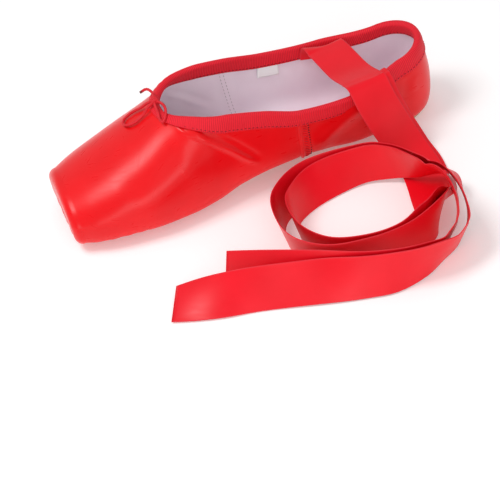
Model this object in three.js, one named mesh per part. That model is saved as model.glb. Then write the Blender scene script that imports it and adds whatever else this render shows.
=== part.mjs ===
import * as THREE from "three";
import { mergeVertices } from "three/addons/utils/BufferGeometryUtils.js";

// A pointe shoe standing empty on its sole. Millimetres, toe towards +X, floor at z = 0.
// "along" is the distance from the back of the heel.
const LENGTH = 232;
const HEEL_CENTRE = 22;
const THROAT = 164;
const THROAT_ROUND = 30;
const HOLE_TIP = 187;
const HOLE_ROUND = 24;
const TOE_RIM = 5;
const DOME_POWER = 2.1;
const UNDER_POWER = 2.5;
const LEAN_POWER = 1.7;

// Fit between the pieces
const GAP = 0.3;
const SOLE_THICK = 2.8;
const INSOLE_THICK = 1.5;

// Side seam: a raised step in the wall where the vamp meets the quarter
const SEAM_ALONG = 90;
const SEAM_WIDTH = 4.4;
const SEAM_RAISE = 0.8;
const SEAM_EDGE = 0.6;

// Collar binding folded over the edge
const BINDING_OUTSIDE = 8.8;
const BINDING_INSIDE = 7;
const BINDING_THICK = 0.7;
const BINDING_SLACK = 0.5;
const BINDING_TAPER = 0.6;
const BINDING_ROLL = 0.2;

const SATIN = new THREE.MeshStandardMaterial({ color: 0xd8101c, roughness: 0.35 });
const BINDING = new THREE.MeshStandardMaterial({ color: 0xb4122a, roughness: 0.7 });
const LEATHER = new THREE.MeshStandardMaterial({ color: 0xc9a37c, roughness: 0.7 });
const CANVAS = new THREE.MeshStandardMaterial({ color: 0xe6dde4, roughness: 0.9 });
const LABEL = new THREE.MeshStandardMaterial({ color: 0xf6f6f8, roughness: 0.8 });

// Rows of numbers under named columns
const table = (names, rows) => rows.map((row) => Object.fromEntries(names.map((name, i) => [name, row[i]])));

// Half section of the upper at each station. half, bulge: widest point and its height; top, lip: height of
// the collar edge and its distance from the middle; crown: height of the rounded vamp; floor, tread: height
// of the underside and its flat half; hole: half of the opening over the sole; wall: thickness;
// dome: 1 for a rounded vamp, 0 for a leaning collar wall.
const HEEL_BACK = {
  half: 22, bulge: 24, top: 50.2, lip: 17.5, crown: 60, floor: 3.1, tread: 16, hole: 11, wall: 1.9, dome: 0,
};
const SECTION = ["along", "half", "bulge", "top", "lip", "crown", "floor", "tread", "hole", "wall", "dome"];
const SECTIONS = table(SECTION, [
  [22, 23.5, 21.5, 46.8, 20, 60, 3.1, 17, 12, 1.8, 0],
  [56, 29, 17.5, 42.2, 31.8, 70, 3.9, 17.5, 11, 1.5, 0],
  [91, 29.5, 18.5, 45.6, 33.4, 75, 8.2, 16, 8, 1.5, 0],
  [110, 30.5, 19, 51.6, 31, 75, 8.2, 17.5, 9, 1.5, 0],
  [130, 31.8, 19, 58, 28.6, 76, 6.2, 20, 12.5, 1.6, 0.12],
  [148, 35.2, 18.5, 62.5, 26.4, 69.5, 3.6, 25.5, 17, 1.8, 0.7],
  [164, 38, 18, 60, 25.5, 58.5, 3.1, 28, 19.5, 2.2, 1],
  [181, 39.4, 18, 60, 26, 49.8, 3.1, 28, 19, 2.6, 1],
  [201, 37.4, 16.8, 60, 26, 41.6, 3.1, 25, 16, 2.8, 1],
  [217, 34, 16, 60, 26, 35.4, 2.6, 21, 16, 2.8, 1],
  [227, 29.6, 15.8, 60, 26, 31.4, 2.5, 18, 16, 2.8, 1],
]);

// Half width of the outsole
const SOLE = table(["along", "half"], [
  [22, 17],
  [48, 16],
  [70, 13.8],
  [91, 12.6],
  [110, 13.6],
  [130, 18],
  [146, 22.4],
  [160, 24.2],
  [186, 24.2],
]);
const SOLE_ENDS = { back: 6, backRound: 16, tip: 194, tipRound: 28 };
const INSOLE_ENDS = { back: 6.6, backRound: 15.4, tip: 216, tipRound: 34 };
const INSOLE_CLEAR = 0.5;

// Stations shared by every piece: angles round the heel in degrees, then distances along the shoe
const HEEL_ANGLES = [90, 76, 62, 48, 34, 20, 9];
const QUARTER = [22, 32, 43, 54, 65, 76];
const SEAM_HALF = SEAM_WIDTH / 2;
const SEAM = [-SEAM_HALF - SEAM_EDGE, -SEAM_HALF, SEAM_HALF, SEAM_HALF + SEAM_EDGE];
const INSTEP = [100, 109, 118, 127];
const ROUNDED = [90, 79, 68, 58, 48, 39, 31, 23, 16, 10, 4, 0];
const VAMP = [166, 168.5, 171.5, 175, 179, 183.5, 187, 195, 203, 211, 218, 223, 227];

function smooth(rows, name, startSlope = null) {
  const x = rows.map((row) => row.along);
  const y = rows.map((row) => row[name]);
  const gap = x.slice(1).map((v, i) => v - x[i]);
  const rise = gap.map((g, i) => (y[i + 1] - y[i]) / g);
  const slope = y.map((_, i) => {
    if (i === 0) return startSlope ?? rise[0];
    if (i === y.length - 1) return rise[i - 1];
    if (rise[i - 1] * rise[i] <= 0) return 0;
    return (gap[i - 1] + gap[i]) / (gap[i] / rise[i - 1] + gap[i - 1] / rise[i]);
  });
  return (at) => {
    const t = Math.min(Math.max(at, x[0]), x[x.length - 1]);
    let i = 0;
    while (i < gap.length - 1 && t > x[i + 1]) i++;
    const u = (t - x[i]) / gap[i];
    const a = y[i] * (1 + 2 * u) * (1 - u) ** 2 + y[i + 1] * u * u * (3 - 2 * u);
    return a + gap[i] * u * (1 - u) * (slope[i] * (1 - u) - slope[i + 1] * u);
  };
}

// Each column blends round the heel from the row at the heel centre to the row at the back.
function columns(rows, back) {
  const made = {};
  for (const name of Object.keys(back)) {
    const ahead = smooth(rows, name, (rows[0][name] - back[name]) / rows[0].half);
    made[name] = (at) =>
      at.angle > 0 ? rows[0][name] + (back[name] - rows[0][name]) * Math.sin(at.angle) : ahead(at.along);
  }
  return made;
}

const upperAt = columns(SECTIONS, HEEL_BACK);

// A place on the shoe is one running number: below zero it turns round the heel, above it runs to the toe.
const HEEL_RUN = (Math.PI / 2) * HEEL_CENTRE;
const turned = (degrees) => (-degrees / 90) * HEEL_RUN;
const placed = (along) => along - HEEL_CENTRE;
const station = (run) =>
  run < 0
    ? { along: HEEL_CENTRE, angle: ((-run / HEEL_RUN) * Math.PI) / 2 }
    : { along: run + HEEL_CENTRE, angle: 0 };

const rounding = (along, tip, length) =>
  Math.sqrt(Math.max(0, 1 - (Math.max(0, along - tip + length) / length) ** 2));

function spot(at, out, z) {
  return new THREE.Vector3(
    at.along - out * Math.sin(at.angle) - LENGTH / 2,
    out * Math.cos(at.angle),
    z,
  );
}

function half(at) {
  const size = {};
  for (const name of Object.keys(upperAt)) size[name] = upperAt[name](at);
  if (at.angle === 0) {
    size.lip *= rounding(at.along, THROAT, THROAT_ROUND);
    size.hole *= rounding(at.along, HOLE_TIP, HOLE_ROUND);
  }
  return size;
}

// Point on the outside of the upper. row 0 to 1 crosses the flat underside, 1 to 2 climbs to the widest
// point, 2 to 3 goes on to the collar edge or the middle of the vamp.
function outside(run, row) {
  const at = station(Math.min(run, placed(LENGTH - TOE_RIM)));
  const size = half(at);
  let out;
  let z = size.floor;
  if (row <= 1) {
    out = size.hole + (size.tread - size.hole) * row;
  } else if (row <= 2) {
    const turn = ((row - 1) * Math.PI) / 2;
    out = size.tread + (size.half - size.tread) * Math.sin(turn) ** (2 / UNDER_POWER);
    z = size.bulge + (size.floor - size.bulge) * Math.cos(turn) ** (2 / UNDER_POWER);
  } else {
    const rise = Math.min(row - 2, 1);
    const cut = Math.acos(Math.min(1, size.lip / size.half) ** (DOME_POWER / 2));
    const round = Math.max(0, Math.cos(rise * cut)) ** (2 / DOME_POWER);
    const swell = Math.sin(rise * cut) ** (2 / DOME_POWER);
    const wallOut = size.half + (size.lip - size.half) * rise ** LEAN_POWER;
    const wallUp = size.bulge + (size.top - size.bulge) * rise;
    out = size.dome * size.half * round + (1 - size.dome) * wallOut;
    z = size.dome * (size.bulge + (size.crown - size.bulge) * swell) + (1 - size.dome) * wallUp;
  }
  const point = spot(at, out, z);
  const past = run - placed(LENGTH - TOE_RIM);
  if (past <= 0) return point;
  // Past the last section the toe turns a rounded rim, then closes as a flat platform.
  const bend = Math.min(past / TOE_RIM, 1) * (Math.PI / 2);
  const shrink = TOE_RIM * (1 - Math.cos(bend));
  const flat = Math.max(0, 1 - Math.max(0, past - TOE_RIM));
  const middle = (size.crown + size.floor) / 2;
  point.x += TOE_RIM * Math.sin(bend);
  point.y *= (1 - shrink / size.half) * flat;
  point.z = middle + (point.z - middle) * (1 - shrink / (middle - size.floor)) * flat;
  return point;
}

const RUN_END = placed(LENGTH) + 1;
const STEP = 0.02;

function outward(run, row) {
  if (run > RUN_END - 0.99) return new THREE.Vector3(1, 0, 0);
  const behind = Math.max(run - STEP, -HEEL_RUN);
  const ahead = Math.min(run + STEP, RUN_END - 1);
  const low = Math.max(row - STEP, 0);
  const high = Math.min(row + STEP, 3);
  const forward = outside(ahead, row).sub(outside(behind, row));
  const across = outside(run, high).sub(outside(run, low));
  const normal = across.cross(forward);
  if (onMiddle(run, row)) normal.y = 0;
  return normal.normalize();
}

// Where the two mirrored halves meet
function onMiddle(run, row) {
  const along = run + HEEL_CENTRE;
  return run <= -HEEL_RUN + 1e-6 || (row >= 3 && along >= THROAT) || (row <= 0 && along >= HOLE_TIP);
}

const wallAt = (run) => upperAt.wall(station(Math.min(run, placed(LENGTH - TOE_RIM))));

function shell(run, row, offset) {
  const point = outside(run, row).addScaledVector(outward(run, row), offset);
  if (onMiddle(run, row)) point.y = 0;
  return point;
}

const inside = (run, row, offset = 0) => shell(run, row, -wallAt(run) - offset);

// The place on the side wall or vamp nearest to a point
function settle(target) {
  const ahead = target.x + LENGTH / 2 - HEEL_CENTRE;
  const run = ahead >= 0 ? ahead : (Math.atan2(-ahead, target.y) / (Math.PI / 2)) * -HEEL_RUN;
  let low = 2;
  let high = 3;
  for (let i = 0; i < 30; i++) {
    const third = (high - low) / 3;
    const lower = outside(run, low + third).distanceTo(target);
    const upper = outside(run, high - third).distanceTo(target);
    if (lower < upper) high -= third;
    else low += third;
  }
  return [run, high > 2.9999 ? 3 : (low + high) / 2];
}

// The place reached by walking over the outside from the collar edge, leaving the edge squarely
function fromEdge(run, distance, steps = 4) {
  let place = [run, 3];
  const back = outside(Math.max(run - 0.05, -HEEL_RUN), 3);
  const edge = outside(Math.min(run + 0.05, placed(THROAT)), 3).sub(back).normalize();
  if (onMiddle(run, 3)) edge.set(0, run < 0 ? 1 : -1, 0);
  for (let i = 0; i < steps; i++) {
    const away = outward(...place).cross(edge).normalize();
    place = settle(outside(...place).addScaledVector(away, distance / steps));
  }
  return place;
}

function fromTriangles(points, triangles) {
  const made = new THREE.BufferGeometry();
  const positions = new Float32Array(points.flatMap((p) => [p.x, p.y, p.z]));
  made.setAttribute("position", new THREE.BufferAttribute(positions, 3));
  made.setIndex(triangles);
  const merged = mergeVertices(made, 1e-4);
  const index = Array.from(merged.index.array);
  const kept = [];
  for (let i = 0; i < index.length; i += 3) {
    const [a, b, c] = index.slice(i, i + 3);
    if (a !== b && b !== c && a !== c) kept.push(a, b, c);
  }
  merged.setIndex(kept);
  merged.computeVertexNormals();
  return merged;
}

// Skin over a line of rings; the line may close on itself, and open ends are capped.
function skin(rings, closed = false) {
  const count = rings[0].length;
  const points = rings.flat();
  const triangles = [];
  const last = closed ? rings.length : rings.length - 1;
  for (let i = 0; i < last; i++) {
    const next = (i + 1) % rings.length;
    for (let j = 0; j < count; j++) {
      const k = (j + 1) % count;
      const [a, b, c, d] = [i * count + j, i * count + k, next * count + k, next * count + j];
      triangles.push(a, b, c, a, c, d);
    }
  }
  if (!closed) {
    for (const [at, flip] of [[0, true], [rings.length - 1, false]]) {
      const centre = new THREE.Vector3();
      rings[at].forEach((p) => centre.addScaledVector(p, 1 / count));
      points.push(centre);
      for (let j = 0; j < count; j++) {
        const edge = [at * count + j, at * count + ((j + 1) % count)];
        triangles.push(...(flip ? edge.reverse() : edge), points.length - 1);
      }
    }
  }
  return fromTriangles(points, triangles);
}

const mirror = (p) => new THREE.Vector3(p.x, -p.y, p.z);

function mesh(name, geometry, material) {
  const made = new THREE.Mesh(geometry, material);
  made.name = name;
  return made;
}

const RUNS = [
  ...HEEL_ANGLES.map(turned),
  ...QUARTER.map(placed),
  ...SEAM.map((w) => placed(SEAM_ALONG + w)),
  ...INSTEP.map(placed),
  ...ROUNDED.map((degrees) => placed(THROAT - THROAT_ROUND * (1 - Math.cos((degrees * Math.PI) / 180)))),
  ...VAMP.map(placed),
  ...[25, 50, 72, 90].map((degrees) => placed(LENGTH - TOE_RIM) + (TOE_RIM * degrees) / 90),
  RUN_END - 0.5,
  RUN_END,
];

// Rows of a section: even on the underside, with one row just below the binding's lower edge
function rowsAt(run) {
  let length = 0;
  for (let i = 0; i < 12; i++)
    length += outside(run, 2 + i / 12).distanceTo(outside(run, 2 + (i + 1) / 12));
  const below = 3 - Math.min(0.8, (BINDING_OUTSIDE + 2 * GAP) / Math.max(length, 1));
  const under = below - Math.min(0.1, SEAM_EDGE / Math.max(length, 1));
  const rows = [0, 1, 1.25, 1.5, 1.75];
  for (let i = 0; i <= 4; i++) rows.push(2 + ((under - 2) * i) / 4);
  for (let i = 0; i <= 3; i++) rows.push(below + ((3 - below) * i) / 3);
  return rows;
}

function raised(run, index) {
  const away = Math.abs(run - placed(SEAM_ALONG));
  return away < SEAM_HALF + SEAM_EDGE / 2 && index > 1 && index < 10 ? SEAM_RAISE : 0;
}

function upper() {
  const count = rowsAt(0).length;
  const points = [];
  const triangles = [];
  for (const side of [1, -1]) {
    const start = points.length;
    for (const run of RUNS) {
      rowsAt(run).forEach((row, j) => {
        const outer = shell(run, row, raised(run, j));
        const inner = inside(run, row);
        points.push(...(side > 0 ? [outer, inner] : [mirror(outer), mirror(inner)]));
      });
    }
    const at = (i, j, layer) => start + (i * count + j) * 2 + layer;
    const quad = (a, b, c, d) => {
      const corners = side > 0 ? [a, b, c, d] : [d, c, b, a];
      triangles.push(corners[0], corners[1], corners[2], corners[0], corners[2], corners[3]);
    };
    for (let i = 0; i < RUNS.length - 1; i++) {
      for (let j = 0; j < count - 1; j++) {
        quad(at(i, j, 0), at(i, j + 1, 0), at(i + 1, j + 1, 0), at(i + 1, j, 0));
        quad(at(i, j, 1), at(i + 1, j, 1), at(i + 1, j + 1, 1), at(i, j + 1, 1));
      }
      const top = count - 1;
      if (RUNS[i + 1] <= placed(THROAT) + 1e-6)
        quad(at(i, top, 0), at(i, top, 1), at(i + 1, top, 1), at(i + 1, top, 0));
      if (RUNS[i + 1] <= placed(HOLE_TIP) + 1e-6)
        quad(at(i, 0, 0), at(i + 1, 0, 0), at(i + 1, 0, 1), at(i, 0, 1));
    }
  }
  return mesh("upper", fromTriangles(points, triangles), SATIN);
}

// Flat piece with chamfered edges that follows the underside of the upper, rounded at both ends
function plate(name, width, ends, lift, thick, material) {
  const chamfer = 0.25 * thick;
  const turn = [8, 20, 34, 50, 68, 90].map((degrees) => (degrees * Math.PI) / 180);
  const stations = [
    ...turn.map((angle) => ends.back + ends.backRound * (1 - Math.cos(angle))),
    ...[32, 44, 56, 67, 78, 88, 98, 108, 118, 128, 138, 148, 158].filter((v) => v < ends.tip - ends.tipRound),
    ...[...turn].reverse().map((angle) => ends.tip - ends.tipRound * (1 - Math.cos(angle))),
  ];
  const rings = stations.map((along) => {
    const at = { along, angle: 0 };
    const ended = rounding(along, ends.tip, ends.tipRound) * rounding(-along, -ends.back, ends.backRound);
    const out = Math.max(width(at) * ended, 1);
    const z = upperAt.floor(at) + lift(at);
    const side = [[out - chamfer, 0], [out, chamfer], [out, thick - chamfer], [out - chamfer, thick]];
    const right = side.map(([y, up]) => spot(at, y, z + up));
    return [...right, ...right.map(mirror).reverse()];
  });
  return mesh(name, skin(rings), material);
}

const soleHalf = smooth(SOLE, "half");

function outsole() {
  const width = (at) => soleHalf(at.along);
  return plate("outsole", width, SOLE_ENDS, () => -GAP - SOLE_THICK, SOLE_THICK, LEATHER);
}

function insole() {
  const width = (at) => upperAt.tread(at) - INSOLE_CLEAR;
  return plate("insole", width, INSOLE_ENDS, (at) => upperAt.wall(at) + GAP, INSOLE_THICK, CANVAS);
}

// The flaps grow narrower towards the throat.
function flap(run, full) {
  const near = Math.max(0, (run - placed(THROAT - THROAT_ROUND)) / THROAT_ROUND);
  return full * (1 - BINDING_TAPER * near);
}

// Tape folded over the collar edge: an outer flap, a crown above the edge and an inner flap
function collarBinding() {
  const side = RUNS.filter((run) => run <= placed(THROAT) + 1e-6).map((run) => {
    const outer = [0, 0.33, 0.67, 1].map((share) => fromEdge(run, flap(run, BINDING_OUTSIDE) * share));
    const inner = [0, 0.5, 1].map((share) => fromEdge(run, flap(run, BINDING_INSIDE) * share));
    const near = outer.map(([r, row]) => shell(r, row, GAP));
    const far = outer.map(([r, row]) => shell(r, row, GAP + BINDING_THICK));
    const innerNear = inner.map(([r, row]) => inside(r, row, BINDING_SLACK));
    const innerFar = inner.map(([r, row]) => inside(r, row, BINDING_SLACK + BINDING_THICK));
    const up = near[0].clone().sub(shell(...fromEdge(run, 1), GAP)).normalize();
    const raise = (point, by) => point.clone().addScaledVector(up, by);
    const crown = [0.14, 0.86].map((share) =>
      raise(far[0].clone().lerp(innerFar[0], share), GAP + BINDING_THICK),
    );
    const ring = [
      ...[near[3], far[3], far[2], far[1]],
      ...[raise(far[0], -BINDING_ROLL), ...crown, raise(innerFar[0], -BINDING_ROLL)],
      ...[innerFar[1], innerFar[2], innerNear[2], innerNear[1]],
      ...[raise(innerNear[0], GAP), raise(near[0], GAP), near[1], near[2]],
    ];
    return ring.map((p) => (onMiddle(run, 3) ? p.setY(0) : p));
  });
  const rings = [...side, ...side.slice(1, -1).reverse().map((ring) => ring.map(mirror))];
  return mesh("collar_binding", skin(rings, true), BINDING);
}

// Ribbon routes. x, y, z: middle of the ribbon; wx, wy, wz: towards the edge that ends up on top.
const ROUTE = ["x", "y", "z", "wx", "wy", "wz"];
const FAR_RIBBON = table(ROUTE, [
  [-59, -23.8, 36, -0.98, 0.21, 0],
  [-59.6, -23.9, 41, -0.98, 0.21, 0],
  [-60.6, -21.4, 45, -0.98, 0.2, 0],
  [-62, -14, 45.6, -1, 0, 0],
  [-64, 10, 45.4, -1, 0, 0],
  [-65.5, 26, 48.9, -1, 0, 0],
  [-66.5, 32.5, 48.5, -1, -0.05, 0],
  [-69, 38.5, 37, -1, -0.1, 0],
  [-75.6, 43.4, 18.4, -0.99, -0.15, 0],
  [-79.6, 48.7, 8, -1, -0.1, 0],
  [-81, 57.8, 4, -1, 0, 0],
  [-79.8, 70, 3.4, -1, 0.05, 0.02],
  [-76.6, 84, 4.2, -0.98, 0.16, 0.12],
  [-71.5, 98.4, 8.7, -0.84, 0.08, 0.53],
  [-65.9, 107.5, 13.9, -0.46, -0.08, 0.89],
  [-58.1, 115.8, 13.8, -0.15, -0.13, 0.98],
  [-44, 121, 12.5, 0, 0.05, 1],
  [-25.5, 120.4, 12.5, 0, 0.1, 1],
  [-8, 112, 12.3, 0.1, 0.12, 0.99],
  [1.5, 96.5, 12.2, 0.17, 0.03, 0.98],
  [2.5, 77.5, 12.2, 0.17, -0.05, 0.98],
  [-3.5, 65.5, 12.2, 0.14, -0.14, 0.98],
  [-22, 54.6, 11.6, 0, -0.42, 0.91],
  [-48.3, 54.6, 13.2, -0.17, -0.12, 0.98],
  [-62.7, 63.3, 15.3, 0.05, 0.01, 1],
  [-72, 76.6, 18.6, 0.19, 0.32, 0.93],
  [-80.1, 87.5, 19.5, 0.64, 0.19, 0.74],
  [-80.9, 99.6, 20.5, 0.39, -0.04, 0.92],
  [-79.1, 111, 20, 0.19, 0.09, 0.98],
  [-75.3, 121.7, 17.5, 0.05, 0.25, 0.97],
  [-69, 129.9, 14.5, -0.06, 0.41, 0.91],
  [-59, 137.1, 11.7, 0.29, 0.49, 0.82],
  [-45.7, 140.7, 12.8, 0.16, 0.19, 0.97],
  [-30.2, 140.3, 12.8, -0.03, -0.13, 0.99],
  [-12.7, 132.4, 12.6, -0.05, -0.18, 0.98],
  [10.4, 118.4, 11.4, -0.22, -0.41, 0.88],
  [30, 105.6, 9.8, -0.28, -0.55, 0.78],
  [49, 93, 7.9, -0.28, -0.75, 0.6],
]);
const NEAR_RIBBON = table(ROUTE, [
  [-69, 22, 35.5, -0.97, -0.25, 0.04],
  [-69.3, 22.1, 41, -0.97, -0.25, 0.06],
  [-69.7, 23, 45.5, -0.97, -0.23, 0.06],
  [-70.2, 26.8, 47, -0.98, -0.2, 0.05],
  [-70.6, 31, 46, -0.99, -0.12, 0],
  [-72.5, 36, 35, -1, -0.1, 0],
  [-77.8, 41, 18, -0.99, -0.15, 0],
  [-82.2, 46.8, 5.7, -1, -0.1, 0],
  [-83.8, 57.1, 1.7, -1, 0, 0],
  [-81.4, 70.3, 1.6, -0.99, 0.17, 0.02],
  [-77, 84.4, 2.4, -0.96, 0.25, 0.14],
  [-72.8, 99.6, 5.5, -0.9, 0.09, 0.42],
  [-71, 110.7, 11.8, -0.32, 0.02, 0.95],
  [-60.6, 119.7, 12.9, 0.06, 0.01, 1],
  [-44.5, 123.8, 12.5, 0, 0.05, 1],
  [-25, 123.2, 12.5, 0, 0.1, 1],
  [-4, 116.5, 12.4, 0.1, 0.12, 0.99],
  [9, 101, 12.2, 0.2, 0.05, 0.98],
  [11, 80, 12.2, 0.2, 0, 0.98],
  [4, 62, 12.2, 0.17, -0.17, 0.97],
  [-18, 49.5, 11.6, 0.05, -0.42, 0.91],
  [-48.7, 52.1, 13.1, -0.18, -0.13, 0.97],
  [-63.5, 60.8, 15.4, 0.03, 0.03, 1],
  [-74.4, 75.3, 18.9, 0.2, 0.33, 0.92],
  [-83, 86.6, 20.5, 0.66, 0.17, 0.73],
  [-83.9, 100.1, 21.5, 0.43, 0, 0.9],
  [-83.1, 112.6, 20.5, 0.27, 0.11, 0.96],
  [-80, 124.4, 17.5, 0.12, 0.26, 0.96],
  [-74.3, 132.8, 14, -0.04, 0.43, 0.9],
  [-64.2, 138.7, 11.4, 0.31, 0.54, 0.78],
  [-47.3, 144, 12.7, 0.17, 0.17, 0.97],
  [-28.7, 143.2, 12.6, -0.07, -0.19, 0.98],
  [-12.3, 137.5, 12, -0.1, -0.34, 0.93],
  [9, 126.8, 10.4, -0.33, -0.52, 0.78],
  [37.8, 115.6, 9.8, -0.32, -0.54, 0.78],
  [58, 108, 8, -0.36, -0.72, 0.6],
  [81, 96, 2.8, -0.36, -0.92, 0.12],
]);
const RIBBON_WIDTH = 24;
const RIBBON_THICK = 0.6;
const RIBBON_STEPS = 3;
const RIBBON_TWIST = 0.14;

function ribbon(name, route) {
  const points = route.map((row) => new THREE.Vector3(row.x, row.y, row.z));
  const tops = route.map((row) => new THREE.Vector3(row.wx, row.wy, row.wz));
  const middle = new THREE.CatmullRomCurve3(points, false, "catmullrom", 0.5);
  const wide = new THREE.CatmullRomCurve3(tops, false, "catmullrom", 0.5);
  const spans = route.length - 1;
  const places = [0];
  for (let i = 0; i < spans; i++) {
    const steps = RIBBON_STEPS + Math.round(tops[i].angleTo(tops[i + 1]) / RIBBON_TWIST);
    for (let k = 1; k <= steps; k++) places.push((i + k / steps) / spans);
  }
  const rings = places.map((place) => {
    const point = middle.getPoint(place);
    const along = middle.getTangent(place);
    const across = wide.getPoint(place);
    across.addScaledVector(along, -across.dot(along)).setLength(RIBBON_WIDTH / 2);
    const face = along.clone().cross(across).setLength(RIBBON_THICK / 2);
    return [[1, 1], [-1, 1], [-1, -1], [1, -1]].map(([side, layer]) =>
      point.clone().addScaledVector(across, side).addScaledVector(face, layer),
    );
  });
  return mesh(name, skin(rings), SATIN);
}

// Drawstring bow at the throat: the middle of the cord through each loop and the free end
const CORD_RADIUS = 0.95;
const CORD_SIDES = 6;
const KNOT = { x: 47.6, y: -2.2, z: 62.1, long: 2.9, wide: 3.5, tall: 2.4 };
const WIDE_LOOP = table(["x", "y", "z"], [
  [50.7, -4.1, 61],
  [56, -9.6, 55.2],
  [61, -13.2, 51.6],
  [65.5, -13, 49.4],
  [67.6, -9, 49.5],
  [66.4, -4.5, 50.8],
  [62, -1.6, 52.9],
  [56.5, -1.6, 55.8],
  [51, -1.7, 60.8],
]);
const NARROW_LOOP = table(["x", "y", "z"], [
  [46.3, 1.6, 63],
  [44.8, 6, 62.6],
  [45.2, 9.8, 61.6],
  [47, 13, 59.7],
  [49, 14.2, 58.5],
  [49.9, 12.2, 59.1],
  [49.4, 8.6, 60.4],
  [49, 4.8, 61.2],
  [48.9, 1.7, 62.2],
]);
const FREE_END = table(["x", "y", "z"], [
  [46.9, -6, 62.4],
  [47.2, -10.6, 63],
  [49, -15, 62.4],
  [52.4, -16.4, 60.6],
]);

function cord(name, route, spanSteps = 3) {
  const curve = new THREE.CatmullRomCurve3(route.map((row) => new THREE.Vector3(row.x, row.y, row.z)));
  const count = (route.length - 1) * spanSteps;
  const frames = curve.computeFrenetFrames(count, false);
  const rings = [];
  for (let i = 0; i <= count; i++) {
    const point = curve.getPointAt(i / count);
    const ring = [];
    for (let k = 0; k < CORD_SIDES; k++) {
      const angle = (2 * Math.PI * k) / CORD_SIDES;
      const out = frames.normals[i].clone().multiplyScalar(Math.cos(angle) * CORD_RADIUS);
      ring.push(out.addScaledVector(frames.binormals[i], Math.sin(angle) * CORD_RADIUS).add(point));
    }
    rings.push(ring);
  }
  return mesh(name, skin(rings), SATIN);
}

function knot() {
  const ball = new THREE.SphereGeometry(1, 12, 8).scale(KNOT.long, KNOT.wide, KNOT.tall);
  ball.translate(KNOT.x, KNOT.y, KNOT.z).deleteAttribute("normal").deleteAttribute("uv");
  return mesh("bow_knot", mergeVertices(ball, 1e-4), SATIN);
}

// Bare patch sewn to the lining of the far wall, just under the binding
const LABEL_FROM = 81;
const LABEL_LONG = 12.5;
const LABEL_TALL = 5.6;
const LABEL_THICK = 0.4;
const LABEL_DOWN = BINDING_INSIDE + 0.5;

function sizeLabel() {
  const rings = [0, 0.25, 0.5, 0.75, 1].map((share) => {
    const run = placed(LABEL_FROM + LABEL_LONG * share);
    const places = [0, 0.5, 1].map((down) => fromEdge(run, LABEL_DOWN + LABEL_TALL * down));
    const back = places.map(([r, row]) => mirror(inside(r, row, GAP)));
    const front = places.map(([r, row]) => mirror(inside(r, row, GAP + LABEL_THICK)));
    return [...back, ...front.reverse()];
  });
  return mesh("size_label", skin(rings), LABEL);
}

const shoe = new THREE.Group();
shoe.add(upper(), outsole(), insole(), collarBinding(), sizeLabel());
shoe.add(ribbon("ribbon_far", FAR_RIBBON), ribbon("ribbon_near", NEAR_RIBBON));
shoe.add(knot(), cord("bow_end", FREE_END));
shoe.add(cord("bow_loop_wide", WIDE_LOOP), cord("bow_loop_narrow", NARROW_LOOP));
export default shoe;
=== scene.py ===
# %% [markdown]
# # A red satin pointe shoe
# The shoe stands empty on its leather sole, with its two ankle ribbons laid out beside it. A pointe shoe is
# made inside out on a foot-shaped block called a last, so nearly every piece here is one surface of the
# last, moved in or out by a few tenths of a millimetre. Sizes are written in millimetres, as a shoemaker
# has them, and are turned into Blender's metres in one place, where a mesh is made.

# %% Frame
import math

import bmesh
import bpy
import numpy as np
from mathutils import Matrix


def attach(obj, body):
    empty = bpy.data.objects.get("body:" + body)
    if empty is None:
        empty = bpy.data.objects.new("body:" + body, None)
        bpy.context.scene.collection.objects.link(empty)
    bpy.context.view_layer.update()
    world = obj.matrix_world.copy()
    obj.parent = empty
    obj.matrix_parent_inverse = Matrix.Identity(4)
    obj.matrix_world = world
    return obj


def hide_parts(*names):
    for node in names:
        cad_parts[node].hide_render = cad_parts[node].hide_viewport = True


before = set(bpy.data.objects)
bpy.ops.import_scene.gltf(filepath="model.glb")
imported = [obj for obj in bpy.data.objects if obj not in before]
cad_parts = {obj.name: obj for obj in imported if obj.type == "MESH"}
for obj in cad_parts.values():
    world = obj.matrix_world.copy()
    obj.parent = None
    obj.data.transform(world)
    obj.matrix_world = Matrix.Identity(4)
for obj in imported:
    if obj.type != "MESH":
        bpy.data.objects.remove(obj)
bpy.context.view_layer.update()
MM = 0.001
print("nodes in the frame:", ", ".join(sorted(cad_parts)))

# %% [markdown]
# ## Camera
# The picture is taken from above the shoe's side, with the camera rolled so that the toe points down to the
# left. A camera could be aimed with a Track To constraint, but a constraint can't roll the picture, so the
# three camera axes are worked out from azimuth, elevation and roll and written into the camera's matrix.

# %% Camera
AZIMUTH, ELEVATION, ROLL = (math.radians(angle) for angle in (12.3, 41.8, -12.3))
LOOK_AT = np.array((-2.0, 0.0, 25.0))
CAMERA_SHIFT = np.array((0.8, -72.8, 838.0))
FOCAL_PIXELS = 1438
PICTURE_PIXELS = 500
SENSOR = 36


def camera_axes():
    back = np.array((
        math.sin(AZIMUTH) * math.cos(ELEVATION),
        math.cos(AZIMUTH) * math.cos(ELEVATION),
        math.sin(ELEVATION),
    ))
    right = np.cross((0, 0, 1), back)
    right /= np.linalg.norm(right)
    up = np.cross(back, right)
    rolled_right = math.cos(ROLL) * right + math.sin(ROLL) * up
    rolled_up = -math.sin(ROLL) * right + math.cos(ROLL) * up
    return np.column_stack((rolled_right, rolled_up, back))


def stand(thing, turned, place):
    """Puts an object at a place, with its three axes as the columns of a table."""
    matrix = Matrix.Identity(4)
    for row in range(3):
        for column in range(3):
            matrix[row][column] = turned[row, column]
        matrix[row][3] = place[row]
    thing.matrix_world = matrix
    bpy.context.scene.collection.objects.link(thing)


axes = camera_axes()
eye = (LOOK_AT + axes @ CAMERA_SHIFT) * MM
lens = bpy.data.cameras.new("camera")
lens.lens = FOCAL_PIXELS / PICTURE_PIXELS * SENSOR
lens.sensor_width = SENSOR
camera = bpy.data.objects.new("camera", lens)
stand(camera, axes, eye)
bpy.context.scene.camera = camera
print("camera at", np.round(eye, 3), "lens", round(lens.lens, 1))

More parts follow.
